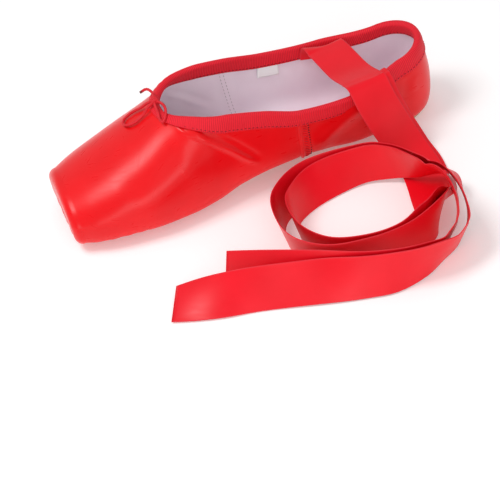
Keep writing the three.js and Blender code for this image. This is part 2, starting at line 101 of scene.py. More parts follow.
# %% [markdown]
# ## Shared cloth effects
# Most finishes here are cloth, and they share three effects: long satin threads, a plain weave and the soft
# unevenness of dyed cloth. Copying the same nodes into each material would work, but a node group keeps one
# copy with named inputs, so each material only sets its own thread size. Patterns that follow the cloth
# read the piece's own UV map, which is laid out in metres, so a 1 mm rib is 1 mm wide on every piece.

# %% Node helpers


def group(name, inputs, output):
    """A shader node group with float or vector inputs and one value output."""
    tree = bpy.data.node_groups.new(name, "ShaderNodeTree")
    for label, kind, value in inputs:
        socket = tree.interface.new_socket(label, in_out="INPUT", socket_type=kind)
        if value is not None:
            socket.default_value = value
    tree.interface.new_socket(output, in_out="OUTPUT", socket_type="NodeSocketFloat")
    return tree, tree.nodes.new("NodeGroupInput"), tree.nodes.new("NodeGroupOutput")


def math_node(tree, operation, *values):
    """A Math node; each value is a number or a socket to link."""
    node = tree.nodes.new("ShaderNodeMath")
    node.operation = operation
    for socket, value in zip(node.inputs, values):
        if isinstance(value, (int, float)):
            socket.default_value = value
        else:
            tree.links.new(value, socket)
    return node.outputs[0]


def parts_of(tree, vector):
    node = tree.nodes.new("ShaderNodeSeparateXYZ")
    tree.links.new(vector, node.inputs[0])
    return node.outputs


def put_noise(tree, vector, detail, result):
    """Noise read at a vector, as the result of a group."""
    noise = tree.nodes.new("ShaderNodeTexNoise")
    noise.inputs["Scale"].default_value = 1
    noise.inputs["Detail"].default_value = detail
    tree.links.new(vector.outputs[0], noise.inputs["Vector"])
    tree.links.new(noise.outputs["Fac"], result.inputs[0])


VECTOR, FLOAT = "NodeSocketVector", "NodeSocketFloat"

# %% Satin threads, weave and mottle


def thread_group():
    """Fine streaks, long in the first UV direction and thin in the second."""
    sizes = [("Cloth", VECTOR, None), ("Length", FLOAT, 0.02), ("Width", FLOAT, 0.0004)]
    tree, given, result = group("Satin threads", sizes, "Streak")
    along, across, _ = parts_of(tree, given.outputs["Cloth"])
    stretched = tree.nodes.new("ShaderNodeCombineXYZ")
    tree.links.new(math_node(tree, "DIVIDE", along, given.outputs["Length"]), stretched.inputs[0])
    tree.links.new(math_node(tree, "DIVIDE", across, given.outputs["Width"]), stretched.inputs[1])
    put_noise(tree, stretched, 2, result)
    return tree


def weave_group():
    """Height of a plain weave: each thread rises over one neighbour and dives under the next."""
    tree, given, result = group("Plain weave", [("Cloth", VECTOR, None), ("Pitch", FLOAT, 0.0008)], "Height")
    waves = []
    for direction in parts_of(tree, given.outputs["Cloth"])[:2]:
        turns = math_node(tree, "DIVIDE", direction, given.outputs["Pitch"])
        waves.append(math_node(tree, "SINE", math_node(tree, "MULTIPLY", turns, 2 * math.pi)))
    crossing = math_node(tree, "MULTIPLY", *waves)
    tree.links.new(math_node(tree, "MULTIPLY_ADD", crossing, 0.5, 0.5), result.inputs[0])
    return tree


def mottle_group():
    """Soft unevenness of the dye, from noise in the shoe's own space."""
    tree, given, result = group("Dye mottle", [("Place", VECTOR, None), ("Size", FLOAT, 0.02)], "Shade")
    scaled = tree.nodes.new("ShaderNodeVectorMath")
    scaled.operation = "SCALE"
    tree.links.new(given.outputs["Place"], scaled.inputs[0])
    tree.links.new(math_node(tree, "DIVIDE", 1.0, given.outputs["Size"]), scaled.inputs["Scale"])
    put_noise(tree, scaled, 3, result)
    return tree


THREADS, WEAVE, MOTTLE = thread_group(), weave_group(), mottle_group()
print("shared effects:", THREADS.name, WEAVE.name, MOTTLE.name)

# %% [markdown]
# ## Finishes
# Satin shines because its threads float over many others before they dive, so light glances off long smooth
# runs. A Principled shader with a moderate roughness gives the broad highlight, thick threads in the
# roughness and a faint bump break it up, and the dye colour stays deep because only a few per cent of the
# light is mirrored. Each finish below starts from the same small builder and then links what is its own.

# %% Material builder
NOISE_LOW, NOISE_HIGH = 0.3, 0.7


class Finish:
    """A material with its Principled shader and the two coordinates that the cloth effects read."""

    def __init__(self, name, roughness, specular):
        self.material = bpy.data.materials.new(name)
        self.material.use_nodes = True
        self.tree = self.material.node_tree
        self.shader = self.tree.nodes["Principled BSDF"]
        self.shader.inputs["Roughness"].default_value = roughness
        self.shader.inputs["Specular IOR Level"].default_value = specular
        cloth = self.tree.nodes.new("ShaderNodeUVMap")
        cloth.uv_map = "cloth"
        self.cloth = cloth.outputs[0]
        self.place = self.tree.nodes.new("ShaderNodeTexCoord").outputs["Object"]

    def effect(self, shared, coordinate, **sizes):
        node = self.tree.nodes.new("ShaderNodeGroup")
        node.node_tree = shared
        self.tree.links.new(coordinate, node.inputs[0])
        for name, value in sizes.items():
            node.inputs[name].default_value = value
        return node.outputs[0]

    def between(self, factor, low, high):
        """A colour that runs from low to high as the factor goes from 0 to 1."""
        node = self.tree.nodes.new("ShaderNodeMix")
        node.data_type = "RGBA"
        self.tree.links.new(factor, node.inputs["Factor"])
        for socket, colour in ((node.inputs[6], low), (node.inputs[7], high)):
            if isinstance(colour, tuple):
                socket.default_value = (*colour, 1)
            else:
                self.tree.links.new(colour, socket)
        return node.outputs[2]

    def spread(self, value, low, high, from_low=NOISE_LOW, from_high=NOISE_HIGH):
        """Stretches a value's range; by default the range that noise mostly keeps to."""
        node = self.tree.nodes.new("ShaderNodeMapRange")
        self.tree.links.new(value, node.inputs["Value"])
        limits = {"From Min": from_low, "From Max": from_high, "To Min": low, "To Max": high}
        for name, number in limits.items():
            node.inputs[name].default_value = number
        return node.outputs["Result"]

    def dyed(self, size, low, high):
        """A colour that wanders between low and high, as dye does."""
        return self.between(self.spread(self.effect(MOTTLE, self.place, Size=size), 0, 1), low, high)

    def colour(self, socket):
        self.tree.links.new(socket, self.shader.inputs["Base Color"])

    def roughness(self, socket):
        self.tree.links.new(socket, self.shader.inputs["Roughness"])

    def bump(self, height, strength, distance):
        node = self.tree.nodes.new("ShaderNodeBump")
        node.inputs["Strength"].default_value = strength
        node.inputs["Distance"].default_value = distance
        self.tree.links.new(height, node.inputs["Height"])
        self.tree.links.new(node.outputs[0], self.shader.inputs["Normal"])


# %% Red satins
SATIN_SPECULAR = 0.30
SLUB_HEIGHT, SLUB_ROUGH = 1.2, 0.03
SELVEDGE_RED = (0.78, 0.022, 0.040)
RIBBON_WIDTH = 24.0


def satin_finish(name, low, high, roughness, width=None):
    """Red satin; with a width it is a ribbon, whose woven edges are a little paler."""
    finish = Finish(name, roughness, SATIN_SPECULAR)
    streak = finish.effect(THREADS, finish.cloth, Length=0.03, Width=0.00035)
    slub = finish.effect(THREADS, finish.cloth, Length=0.009, Width=0.0022)
    height = math_node(finish.tree, "MULTIPLY_ADD", slub, SLUB_HEIGHT, streak)
    colour = finish.dyed(0.022, low, high)
    if width:
        across = parts_of(finish.tree, finish.cloth)[1]
        from_edge = math_node(finish.tree, "SUBTRACT", width / 2, math_node(finish.tree, "ABSOLUTE", across))
        edge = finish.spread(from_edge, 0.7, 0, 0.0003, 0.0009)
        colour = finish.between(edge, colour, SELVEDGE_RED)
    finish.colour(colour)
    finish.roughness(finish.spread(slub, roughness - SLUB_ROUGH, roughness + SLUB_ROUGH))
    finish.bump(height, 0.045, 0.00012)
    return finish.material


SATIN = satin_finish("red_satin", (0.78, 0.0024, 0.0056), (0.86, 0.0034, 0.0074), 0.30)
RIBBON = satin_finish(
    "ribbon_satin", (0.81, 0.0028, 0.0125), (0.88, 0.0042, 0.0165), 0.37, RIBBON_WIDTH * MM)
print("satins:", SATIN.name, RIBBON.name)

# %% Binding, drawstring and thread


def binding_finish():
    """Ribbed tape: ribs run across it, about one every 1.1 mm, with painted shade in the grooves between
    them.
    """
    finish = Finish("ribbed_binding", 0.62, 0.25)
    turns = math_node(finish.tree, "DIVIDE", parts_of(finish.tree, finish.cloth)[0], 0.0011)
    wave = math_node(finish.tree, "SINE", math_node(finish.tree, "MULTIPLY", turns, 2 * math.pi))
    rib = math_node(finish.tree, "MULTIPLY_ADD", wave, 0.5, 0.5)
    shade = finish.effect(MOTTLE, finish.place, Size=0.006)
    # the colour follows the rib height, so the grooves between ribs carry painted shade
    rib_colour_and_groove_shade = finish.between(rib, (0.64, 0.008, 0.020), (0.93, 0.016, 0.036))
    finish.colour(finish.between(finish.spread(shade, 0, 0.35), rib_colour_and_groove_shade, (0.74, 0.011, 0.026)))
    finish.bump(rib, 0.55, 0.00025)
    return finish.material


def drawstring_finish(length):
    """Twisted red cord whose cut end is sealed dark by heat."""
    finish = Finish("drawstring_cord", 0.55, 0.3)
    along = parts_of(finish.tree, finish.cloth)[0]
    fibre = finish.effect(THREADS, finish.cloth, Length=0.004, Width=0.0003)
    dyed = finish.between(finish.spread(fibre, 0, 1), (0.56, 0.008, 0.016), (0.80, 0.014, 0.030))
    burnt = finish.spread(along, 0, 1, length - 0.0022, length - 0.0010)
    finish.colour(finish.between(burnt, dyed, (0.16, 0.006, 0.008)))
    finish.bump(fibre, 0.3, 0.0002)
    return finish.material


def thread_finish(name, colour):
    finish = Finish(name, 0.6, 0.3)
    finish.colour(finish.dyed(0.003, tuple(0.6 * part for part in colour), colour))
    return finish.material


BINDING = binding_finish()
# dark red thread of the binding stitches; the same finish also gives the painted shade of the side seam's
# needle holes
DARK_THREAD_AND_HOLE_SHADE = thread_finish("dark_thread_and_hole_shade", (0.16, 0.002, 0.006))
# seam thread, lighter than the satin: partly its own colour, partly a painted highlight for the glint on the
# stitches
SEAM_THREAD_AND_PAINTED_GLINT = thread_finish("seam_thread_and_painted_glint", (0.82, 0.016, 0.026))
PALE_THREAD = thread_finish("pale_thread", (0.60, 0.53, 0.57))
print("trims:", BINDING.name, DARK_THREAD_AND_HOLE_SHADE.name, SEAM_THREAD_AND_PAINTED_GLINT.name, PALE_THREAD.name)

# %% Lining, insole, sole and label


def cotton_finish(name, low, high, pitch, strength):
    """Plain cotton cloth with a weave that follows the piece."""
    finish = Finish(name, 0.9, 0.15)
    weave = finish.effect(WEAVE, finish.cloth, Pitch=pitch)
    finish.colour(finish.dyed(0.018, low, high))
    finish.bump(weave, strength, 0.00025)
    return finish.material


def leather_finish():
    """Pale suede of the sole: short nap, darker where it has been handled."""
    finish = Finish("sole_suede", 0.85, 0.2)
    nap = finish.effect(MOTTLE, finish.place, Size=0.0009)
    tanned = finish.dyed(0.03, (0.50, 0.33, 0.19), (0.62, 0.44, 0.28))
    finish.colour(finish.between(finish.spread(nap, 0, 0.45, 0.4, 0.7), tanned, (0.40, 0.26, 0.15)))
    finish.roughness(finish.spread(nap, 0.75, 0.95))
    finish.bump(nap, 0.5, 0.0003)
    return finish.material


LINING = cotton_finish("lining_cotton", (0.93, 0.81, 0.90), (0.97, 0.87, 0.95), 0.0008, 0.35)
INSOLE = cotton_finish("insole_cotton", (0.90, 0.87, 0.89), (0.95, 0.93, 0.94), 0.0010, 0.4)
LABEL = cotton_finish("label_tape", (0.95, 0.95, 0.96), (0.97, 0.97, 0.97), 0.0005, 0.3)
SUEDE = leather_finish()
print("inside and sole:", LINING.name, INSOLE.name, LABEL.name, SUEDE.name)

# %% [markdown]
# ## From numbers to meshes
# Most pieces are grids of points, so one helper turns a grid into a mesh with its UV map in metres.
# Blender's primitives and sculpting could give the rough form, but a grid that is worked out row by row
# keeps the true shape of the last and can be repeated exactly.

# %% Mesh helpers


def unit(vectors):
    length = np.linalg.norm(vectors, axis=-1, keepdims=True)
    return vectors / np.maximum(length, 1e-9)


def grid_faces(lines, points, start=0, flip=False, wrap=False):
    """Quads between neighbouring lines of a grid; wrap closes each line into a ring."""
    faces = []
    for i in range(lines - 1):
        for j in range(points if wrap else points - 1):
            k = (j + 1) % points
            face = [start + i * points + j, start + i * points + k,
                    start + (i + 1) * points + k, start + (i + 1) * points + j]
            faces.append(face[::-1] if flip else face)
    return faces


def tube_faces(lines, ring, flip=False):
    """Faces of a tube made of rings, with both ends closed."""
    ends = [list(range(ring))[::-1], list(range((lines - 1) * ring, lines * ring))]
    return grid_faces(lines, ring, flip=flip, wrap=True) + [end[::-1] if flip else end for end in ends]


def cloth_grid(along, across):
    """UV in metres for a grid of lines and points."""
    return np.stack(np.broadcast_arrays(along, across), axis=-1) * MM


def piece(name, points, faces, cloth, material, merge=0.0):
    """A smooth mesh object at the origin: points in millimetres, one UV in metres for each point."""
    data = bpy.data.meshes.new(name)
    data.from_pydata((np.reshape(points, (-1, 3)) * MM).tolist(), [], faces)
    corner = np.zeros(len(data.loops), dtype=np.int32)
    data.loops.foreach_get("vertex_index", corner)
    flat = np.reshape(cloth, (-1, 2)).astype(np.float32)[corner]
    data.uv_layers.new(name="cloth").data.foreach_set("uv", flat.ravel())
    data.materials.append(material)
    if merge:
        work = bmesh.new()
        work.from_mesh(data)
        bmesh.ops.remove_doubles(work, verts=work.verts, dist=merge * MM)
        bmesh.ops.dissolve_degenerate(work, edges=work.edges, dist=1e-7)
        work.to_mesh(data)
        work.free()
    data.polygons.foreach_set("use_smooth", [True] * len(data.polygons))
    made = bpy.data.objects.new(name, data)
    bpy.context.scene.collection.objects.link(made)
    print(f"{name}: {len(data.vertices)} points, {len(data.polygons)} faces")
    return made


def thicken(made, thickness, inward=True):
    wall = made.modifiers.new("thickness", "SOLIDIFY")
    wall.thickness = thickness * MM
    wall.offset = -1 if inward else 1
    wall.use_even_offset = False


def finished(made, slot, *nodes):
    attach(made, "root")
    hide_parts(*nodes)


# %% [markdown]
# ## Ribbons
# Each ankle ribbon is sewn inside the shoe behind the ankle, leaves over the near edge of the collar and
# lies on the floor in a loose loop that partly stands on its edge. A curve with a flat bevel would twist by
# itself, so every route row also says which way the ribbon's upper edge points, and the strip is built from
# both.

# %% Ribbon routes: x, y, z of the middle, then the direction of the upper edge
FAR_RIBBON = [
    (-59, -23.8, 36, -0.98, 0.21, 0),
    (-59.6, -23.9, 41, -0.98, 0.21, 0),
    (-60.6, -21.4, 45, -0.98, 0.2, 0),
    (-62, -14, 45.6, -1, 0, 0),
    (-64, 10, 45.4, -1, 0, 0),
    (-65.5, 26, 48.9, -1, 0, 0),
    (-66.5, 32.5, 48.5, -1, -0.05, 0),
    (-69, 38.5, 37, -1, -0.1, 0),
    (-75.6, 43.4, 18.4, -0.99, -0.15, 0),
    (-79.6, 48.7, 8, -1, -0.1, 0),
    (-81, 57.8, 4, -1, 0, 0),
    (-79.8, 70, 3.4, -1, 0.05, 0.02),
    (-76.6, 84, 4.2, -0.98, 0.16, 0.12),
    (-71.5, 98.4, 8.7, -0.84, 0.08, 0.53),
    (-65.9, 107.5, 13.9, -0.46, -0.08, 0.89),
    (-58.1, 115.8, 13.8, -0.15, -0.13, 0.98),
    (-44, 121, 12.5, 0, 0.05, 1),
    (-25.5, 120.4, 12.5, 0, 0.1, 1),
    (-8, 112, 12.3, 0.1, 0.12, 0.99),
    (1.5, 96.5, 12.2, 0.17, 0.03, 0.98),
    (2.5, 77.5, 12.2, 0.17, -0.05, 0.98),
    (-3.5, 65.5, 12.2, 0.14, -0.14, 0.98),
    (-22, 54.6, 11.6, 0, -0.42, 0.91),
    (-48.3, 54.6, 13.2, -0.17, -0.12, 0.98),
    (-62.7, 63.3, 15.3, 0.05, 0.01, 1),
    (-72, 76.6, 18.6, 0.19, 0.32, 0.93),
    (-80.1, 87.5, 19.5, 0.64, 0.19, 0.74),
    (-80.9, 99.6, 20.5, 0.39, -0.04, 0.92),
    (-79.1, 111, 20, 0.19, 0.09, 0.98),
    (-75.3, 121.7, 17.5, 0.05, 0.25, 0.97),
    (-69, 129.9, 14.5, -0.06, 0.41, 0.91),
    (-59, 137.1, 11.7, 0.29, 0.49, 0.82),
    (-45.7, 140.7, 12.8, 0.16, 0.19, 0.97),
    (-30.2, 140.3, 12.8, -0.03, -0.13, 0.99),
    (-12.7, 132.4, 12.6, -0.05, -0.18, 0.98),
    (10.4, 118.4, 11.4, -0.22, -0.41, 0.88),
    (30, 105.6, 9.8, -0.28, -0.55, 0.78),
    (49, 93, 7.9, -0.28, -0.75, 0.6),
]
NEAR_RIBBON = [
    (-69, 22, 35.5, -0.97, -0.25, 0.04),
    (-69.3, 22.1, 41, -0.97, -0.25, 0.06),
    (-69.7, 23, 45.5, -0.97, -0.23, 0.06),
    (-70.2, 26.8, 47, -0.98, -0.2, 0.05),
    (-70.6, 31, 46, -0.99, -0.12, 0),
    (-72.5, 36, 35, -1, -0.1, 0),
    (-77.8, 41, 18, -0.99, -0.15, 0),
    (-82.2, 46.8, 5.7, -1, -0.1, 0),
    (-83.8, 57.1, 1.7, -1, 0, 0),
    (-81.4, 70.3, 1.6, -0.99, 0.17, 0.02),
    (-77, 84.4, 2.4, -0.96, 0.25, 0.14),
    (-72.8, 99.6, 5.5, -0.9, 0.09, 0.42),
    (-71, 110.7, 11.8, -0.32, 0.02, 0.95),
    (-60.6, 119.7, 12.9, 0.06, 0.01, 1),
    (-44.5, 123.8, 12.5, 0, 0.05, 1),
    (-25, 123.2, 12.5, 0, 0.1, 1),
    (-4, 116.5, 12.4, 0.1, 0.12, 0.99),
    (9, 101, 12.2, 0.2, 0.05, 0.98),
    (11, 80, 12.2, 0.2, 0, 0.98),
    (4, 62, 12.2, 0.17, -0.17, 0.97),
    (-18, 49.5, 11.6, 0.05, -0.42, 0.91),
    (-48.7, 52.1, 13.1, -0.18, -0.13, 0.97),
    (-63.5, 60.8, 15.4, 0.03, 0.03, 1),
    (-74.4, 75.3, 18.9, 0.2, 0.33, 0.92),
    (-83, 86.6, 20.5, 0.66, 0.17, 0.73),
    (-83.9, 100.1, 21.5, 0.43, 0, 0.9),
    (-83.1, 112.6, 20.5, 0.27, 0.11, 0.96),
    (-80, 124.4, 17.5, 0.12, 0.26, 0.96),
    (-74.3, 132.8, 14, -0.04, 0.43, 0.9),
    (-64.2, 138.7, 11.4, 0.31, 0.54, 0.78),
    (-47.3, 144, 12.7, 0.17, 0.17, 0.97),
    (-28.7, 143.2, 12.6, -0.07, -0.19, 0.98),
    (-12.3, 137.5, 12, -0.1, -0.34, 0.93),
    (9, 126.8, 10.4, -0.33, -0.52, 0.78),
    (37.8, 115.6, 9.8, -0.32, -0.54, 0.78),
    (58, 108, 8, -0.36, -0.72, 0.6),
    (81, 96, 2.8, -0.36, -0.92, 0.12),
]

# %% Paths


def through(points, steps, even=False):
    """Points on a smooth path through the rows: even spans, or spans timed by their length."""
    points = np.asarray(points, float)
    rows = np.vstack((2 * points[0] - points[1], points, 2 * points[-1] - points[-2]))
    share = (np.arange(steps) / steps)[:, None]
    path = []
    for before, start, end, after in zip(rows, rows[1:], rows[2:], rows[3:]):
        first, middle, last = (np.linalg.norm(q - p) ** 0.5 for p, q in
                               ((before, start), (start, end), (end, after)))
        leave, arrive = (end - before) / 2, (after - start) / 2
        if not even:
            speed = (end - start) / middle
            leave = ((start - before) / first - (end - before) / (first + middle) + speed) * middle
            arrive = (speed - (after - start) / (middle + last) + (after - end) / last) * middle
        path.append(start * (1 + 2 * share) * (1 - share) ** 2 + end * share ** 2 * (3 - 2 * share)
                    + leave * share * (1 - share) ** 2 - arrive * share ** 2 * (1 - share))
    return np.vstack((*path, points[-1:]))


def distances(path):
    return np.concatenate(([0], np.cumsum(np.linalg.norm(np.diff(path, axis=0), axis=1))))


# %% Ribbon strips
RIBBON_STEPS = 10
RIBBON_THICK = 0.42
SELVEDGE_THICK = 0.50
ACROSS = np.array((-1, -0.97, -0.93, -0.8, -0.5, -0.2, 0.2, 0.5, 0.8, 0.93, 0.97, 1))


def ribbon(name, route, node):
    rows = np.array(route, float)
    middle = through(rows[:, :3], RIBBON_STEPS, even=True)
    upper_edge = through(rows[:, 3:], RIBBON_STEPS, even=True)
    along = unit(np.gradient(middle, axis=0))
    across = unit(upper_edge - np.sum(upper_edge * along, axis=1, keepdims=True) * along)
    face = np.cross(along, across)
    thick = np.where(np.abs(ACROSS) > 0.95, SELVEDGE_THICK, RIBBON_THICK) / 2
    out = np.concatenate((ACROSS, ACROSS[::-1])) * RIBBON_WIDTH / 2
    layer = np.concatenate((thick, -thick[::-1]))
    points = middle[:, None] + across[:, None] * out[None, :, None] + face[:, None] * layer[None, :, None]
    lines, ring = points.shape[:2]
    length = distances(middle)
    cloth = cloth_grid(length[:, None], out[None, :])
    made = piece(name, points, tube_faces(lines, ring, flip=True), cloth, RIBBON)
    finished(made, "ribbon", node)
    print(name, "is", round(length[-1]), "mm long")


ribbon("far_ribbon", FAR_RIBBON, "ribbon_far")
ribbon("near_ribbon", NEAR_RIBBON, "ribbon_near")

# %% [markdown]
# ## Drawstring bow
# A thin cord runs inside the collar binding and is tied in a small bow at the throat. The bow is one cord:
# out of the knot, round the wide loop that lies on the vamp, back through the knot, round the narrow loop
# that hangs over the binding, and out to a short free end. Its two plies are real shape, because the twist
# shows up close.

# %% Bow routes
KNOT = np.array((47.6, -2.2, 62.1))
WIDE_LOOP = [
    (50.7, -4.1, 61),
    (56, -9.6, 55.2),
    (61, -13.2, 51.6),
    (65.5, -13, 49.4),
    (67.6, -9, 49.5),
    (66.4, -4.5, 50.8),
    (62, -1.6, 52.9),
    (56.5, -1.6, 55.8),
    (51, -1.7, 60.8),
]
NARROW_LOOP = [
    (46.3, 1.6, 63),
    (44.8, 6, 62.6),
    (45.2, 9.8, 61.6),
    (47, 13, 59.7),
    (49, 14.2, 58.5),
    (49.9, 12.2, 59.1),
    (49.4, 8.6, 60.4),
    (49, 4.8, 61.2),
    (48.9, 1.7, 62.2),
]
FREE_END = [
    (46.9, -6, 62.4),
    (47.2, -10.6, 63),
    (49, -15, 62.4),
    (52.4, -16.4, 60.6),
]
CORD_RADIUS = 0.82
PLY_PITCH = 3.4
KNOT_TURNS = 2.4
KNOT_REACH = 1.55
KNOT_WIDE = 1.9

# %% Cord and knot


def frames_along(path):
    """Directions across a path that turn as little as possible from point to point."""
    along = unit(np.gradient(path, axis=0))
    side = unit(np.cross(along[0], (0.3, 0.2, 1.0)))
    sides = []
    for direction in along:
        side = unit(side - np.dot(side, direction) * direction)
        sides.append(side)
    sides = np.array(sides)
    return sides, np.cross(along, sides)


def twisted_cord(name, path, material, sides=14):
    """A tube with two plies that wind round each other."""
    first, second = frames_along(path)
    length = distances(path)
    angle = np.linspace(0, 2 * math.pi, sides, endpoint=False)[None, :]
    wind = (2 * math.pi / PLY_PITCH * length)[:, None]
    radius = CORD_RADIUS * (0.86 + 0.16 * np.abs(np.cos(angle - wind)))
    points = (path[:, None] + first[:, None] * (radius * np.cos(angle))[..., None]
              + second[:, None] * (radius * np.sin(angle))[..., None])
    cloth = cloth_grid(length[:, None], angle * CORD_RADIUS)
    return piece(name, points, tube_faces(len(path), sides), cloth, material)


bow_route = [
    KNOT + (0.6, 0.4, -0.6), *WIDE_LOOP, KNOT + (0.8, 1.2, -0.5),
    KNOT + (-0.3, 2.4, 0.4), *NARROW_LOOP, KNOT + (0.7, 1.8, 0.3),
    KNOT + (0.0, -1.5, 0.6), *FREE_END,
]
bow_path = through(bow_route, 8)
bow_length = distances(bow_path)[-1] * MM
CORD = drawstring_finish(bow_length)
bow = twisted_cord("drawstring_bow", bow_path, CORD)
finished(bow, "drawstring", "bow_loop_wide", "bow_loop_narrow", "bow_end")

turn = np.linspace(0, 2 * math.pi * KNOT_TURNS, 90)
sway = np.linspace(-1, 1, turn.size)
wraps = np.column_stack((
    KNOT[0] + KNOT_REACH * np.cos(turn),
    KNOT[1] + KNOT_WIDE * sway,
    KNOT[2] + 0.85 * KNOT_REACH * np.sin(turn),
))
bow_knot = twisted_cord("bow_knot_wraps", wraps, CORD)
finished(bow_knot, "drawstring", "bow_knot")
print("drawstring is", round(bow_length / MM), "mm long")

# %% [markdown]
# ## The last
# The form of the shoe is a row of half sections from the heel to the toe. Each section has its widest
# point, the collar edge, the rounded vamp and the flat underside, and a smooth curve joins the sections.
# "run" says where a section is: below zero it turns round the heel, above zero it goes on to the toe. "row"
# climbs a section: 0 to 1 is the underside, 1 to 2 the turn up to the widest point, and 2 to 3 goes on to
# the collar or the vamp's middle.

# %% Sizes of the last
LENGTH = 232.0
HEEL_CENTRE = 22.0
THROAT, THROAT_ROUND = 164.0, 30.0
HOLE_TIP, HOLE_ROUND = 187.0, 24.0
TOE_RIM = 5.0
SEAM_ALONG, SEAM_HALF = 90.4, 2.8
DOME_POWER, UNDER_POWER, LEAN_POWER = 2.1, 2.5, 1.7
SECTION = ("along", "half", "bulge", "top", "lip", "crown", "floor", "tread", "hole", "wall", "dome")
HEEL_BACK = dict(zip(SECTION[1:], (22, 24, 50.2, 17.5, 60, 3.1, 16, 11, 1.9, 0)))
SECTIONS = [
    (22, 23.5, 21.5, 46.8, 20, 60, 3.1, 17, 12, 1.8, 0),
    (56, 29, 17.5, 42.2, 31.8, 70, 3.9, 17.5, 11, 1.5, 0),
    (91, 29.5, 18.5, 45.6, 33.4, 75, 8.2, 16, 8, 1.5, 0),
    (110, 30.5, 19, 51.6, 31, 75, 8.2, 17.5, 9, 1.5, 0),
    (130, 31.8, 19, 58, 28.6, 76, 6.2, 20, 12.5, 1.6, 0.12),
    (148, 35.2, 18.5, 62.5, 26.4, 69.5, 3.6, 25.5, 17, 1.8, 0.7),
    (164, 38, 18, 60, 25.5, 58.5, 3.1, 28, 19.5, 2.2, 1),
    (181, 39.4, 18, 60, 26, 49.8, 3.1, 28, 19, 2.6, 1),
    (201, 37.4, 16.8, 60, 26, 41.6, 3.1, 25, 16, 2.8, 1),
    (217, 34, 16, 60, 26, 35.4, 2.6, 21, 16, 2.8, 1),
    (227, 29.6, 15.8, 60, 26, 31.4, 2.5, 18, 16, 2.8, 1),
]
HEEL_RUN = math.pi / 2 * HEEL_CENTRE
RUN_END = LENGTH - HEEL_CENTRE + 1
STEP = 0.02

# %% Smooth columns


def smooth(along, values, start_slope=None):
    """A curve through the values that never overshoots them."""
    along, values = np.asarray(along, float), np.asarray(values, float)
    gap = np.diff(along)
    rise = np.diff(values) / gap
    slope = np.zeros(values.size)
    slope[0] = rise[0] if start_slope is None else start_slope
    slope[-1] = rise[-1]
    for i in range(1, values.size - 1):
        if rise[i - 1] * rise[i] > 0:
            slope[i] = (gap[i - 1] + gap[i]) / (gap[i] / rise[i - 1] + gap[i - 1] / rise[i])

    def value(at):
        at = np.clip(at, along[0], along[-1])
        i = np.clip(np.searchsorted(along, at) - 1, 0, gap.size - 1)
        u = (at - along[i]) / gap[i]
        level = values[i] * (1 + 2 * u) * (1 - u) ** 2 + values[i + 1] * u * u * (3 - 2 * u)
        return level + gap[i] * u * (1 - u) * (slope[i] * (1 - u) - slope[i + 1] * u)

    return value


COLUMNS = {}
section_places = [section[0] for section in SECTIONS]
for index, name in enumerate(SECTION[1:], start=1):
    listed = [section[index] for section in SECTIONS]
    COLUMNS[name] = smooth(section_places, listed, (listed[0] - HEEL_BACK[name]) / SECTIONS[0][1])


def placed(along):
    return along - HEEL_CENTRE


def rounding(along, tip, length):
    return np.sqrt(np.maximum(0, 1 - (np.maximum(0, along - tip + length) / length) ** 2))


print("columns of the last:", ", ".join(COLUMNS))

# %% Surface of the last


def half_section(run):
    at = np.minimum(run, placed(LENGTH - TOE_RIM))
    turn = np.where(at < 0, -at / HEEL_RUN * math.pi / 2, 0)
    along = np.where(at < 0, HEEL_CENTRE, at + HEEL_CENTRE)
    size = {}
    for name, column in COLUMNS.items():
        ahead = column(along)
        size[name] = ahead + (HEEL_BACK[name] - ahead) * np.sin(turn)
    size["lip"] = size["lip"] * rounding(along, THROAT, THROAT_ROUND)
    size["hole"] = size["hole"] * rounding(along, HOLE_TIP, HOLE_ROUND)
    return along, turn, size


def outside(run, row):
    """Point on the outside of the near half."""
    run, row = np.broadcast_arrays(np.asarray(run, float), np.asarray(row, float))
    along, turn, size = half_section(run)
    under = size["hole"] + (size["tread"] - size["hole"]) * np.clip(row, 0, 1)
    low = np.clip(row - 1, 0, 1) * math.pi / 2
    low_out = size["tread"] + (size["half"] - size["tread"]) * np.sin(low) ** (2 / UNDER_POWER)
    low_up = size["bulge"] + (size["floor"] - size["bulge"]) * np.cos(low) ** (2 / UNDER_POWER)
    rise = np.clip(row - 2, 0, 1)
    cut = np.arccos(np.minimum(1, size["lip"] / size["half"]) ** (DOME_POWER / 2))
    rounded = np.maximum(0, np.cos(rise * cut)) ** (2 / DOME_POWER)
    swell = np.sin(rise * cut) ** (2 / DOME_POWER)
    wall_out = size["half"] + (size["lip"] - size["half"]) * rise ** LEAN_POWER
    wall_up = size["bulge"] + (size["top"] - size["bulge"]) * rise
    dome = size["dome"]
    high_out = dome * size["half"] * rounded + (1 - dome) * wall_out
    high_up = dome * (size["bulge"] + (size["crown"] - size["bulge"]) * swell) + (1 - dome) * wall_up
    out = np.select([row <= 1, row <= 2], [under, low_out], high_out)
    up = np.select([row <= 1, row <= 2], [size["floor"], low_up], high_up)
    past = np.maximum(0, run - placed(LENGTH - TOE_RIM))
    bend = np.minimum(past / TOE_RIM, 1) * math.pi / 2
    shrink = TOE_RIM * (1 - np.cos(bend))
    flat = np.maximum(0, 1 - np.maximum(0, past - TOE_RIM))
    middle = (size["crown"] + size["floor"]) / 2
    return np.stack((
        along - out * np.sin(turn) - LENGTH / 2 + TOE_RIM * np.sin(bend),
        out * np.cos(turn) * (1 - shrink / size["half"]) * flat,
        middle + (up - middle) * (1 - shrink / (middle - size["floor"])) * flat,
    ), axis=-1)


def on_middle(run, row):
    """Where the two mirrored halves meet."""
    along = run + HEEL_CENTRE
    heel = run <= -HEEL_RUN + 1e-6
    return heel | ((row >= 3) & (along >= THROAT - 1e-6)) | ((row <= 0) & (along >= HOLE_TIP - 1e-6))


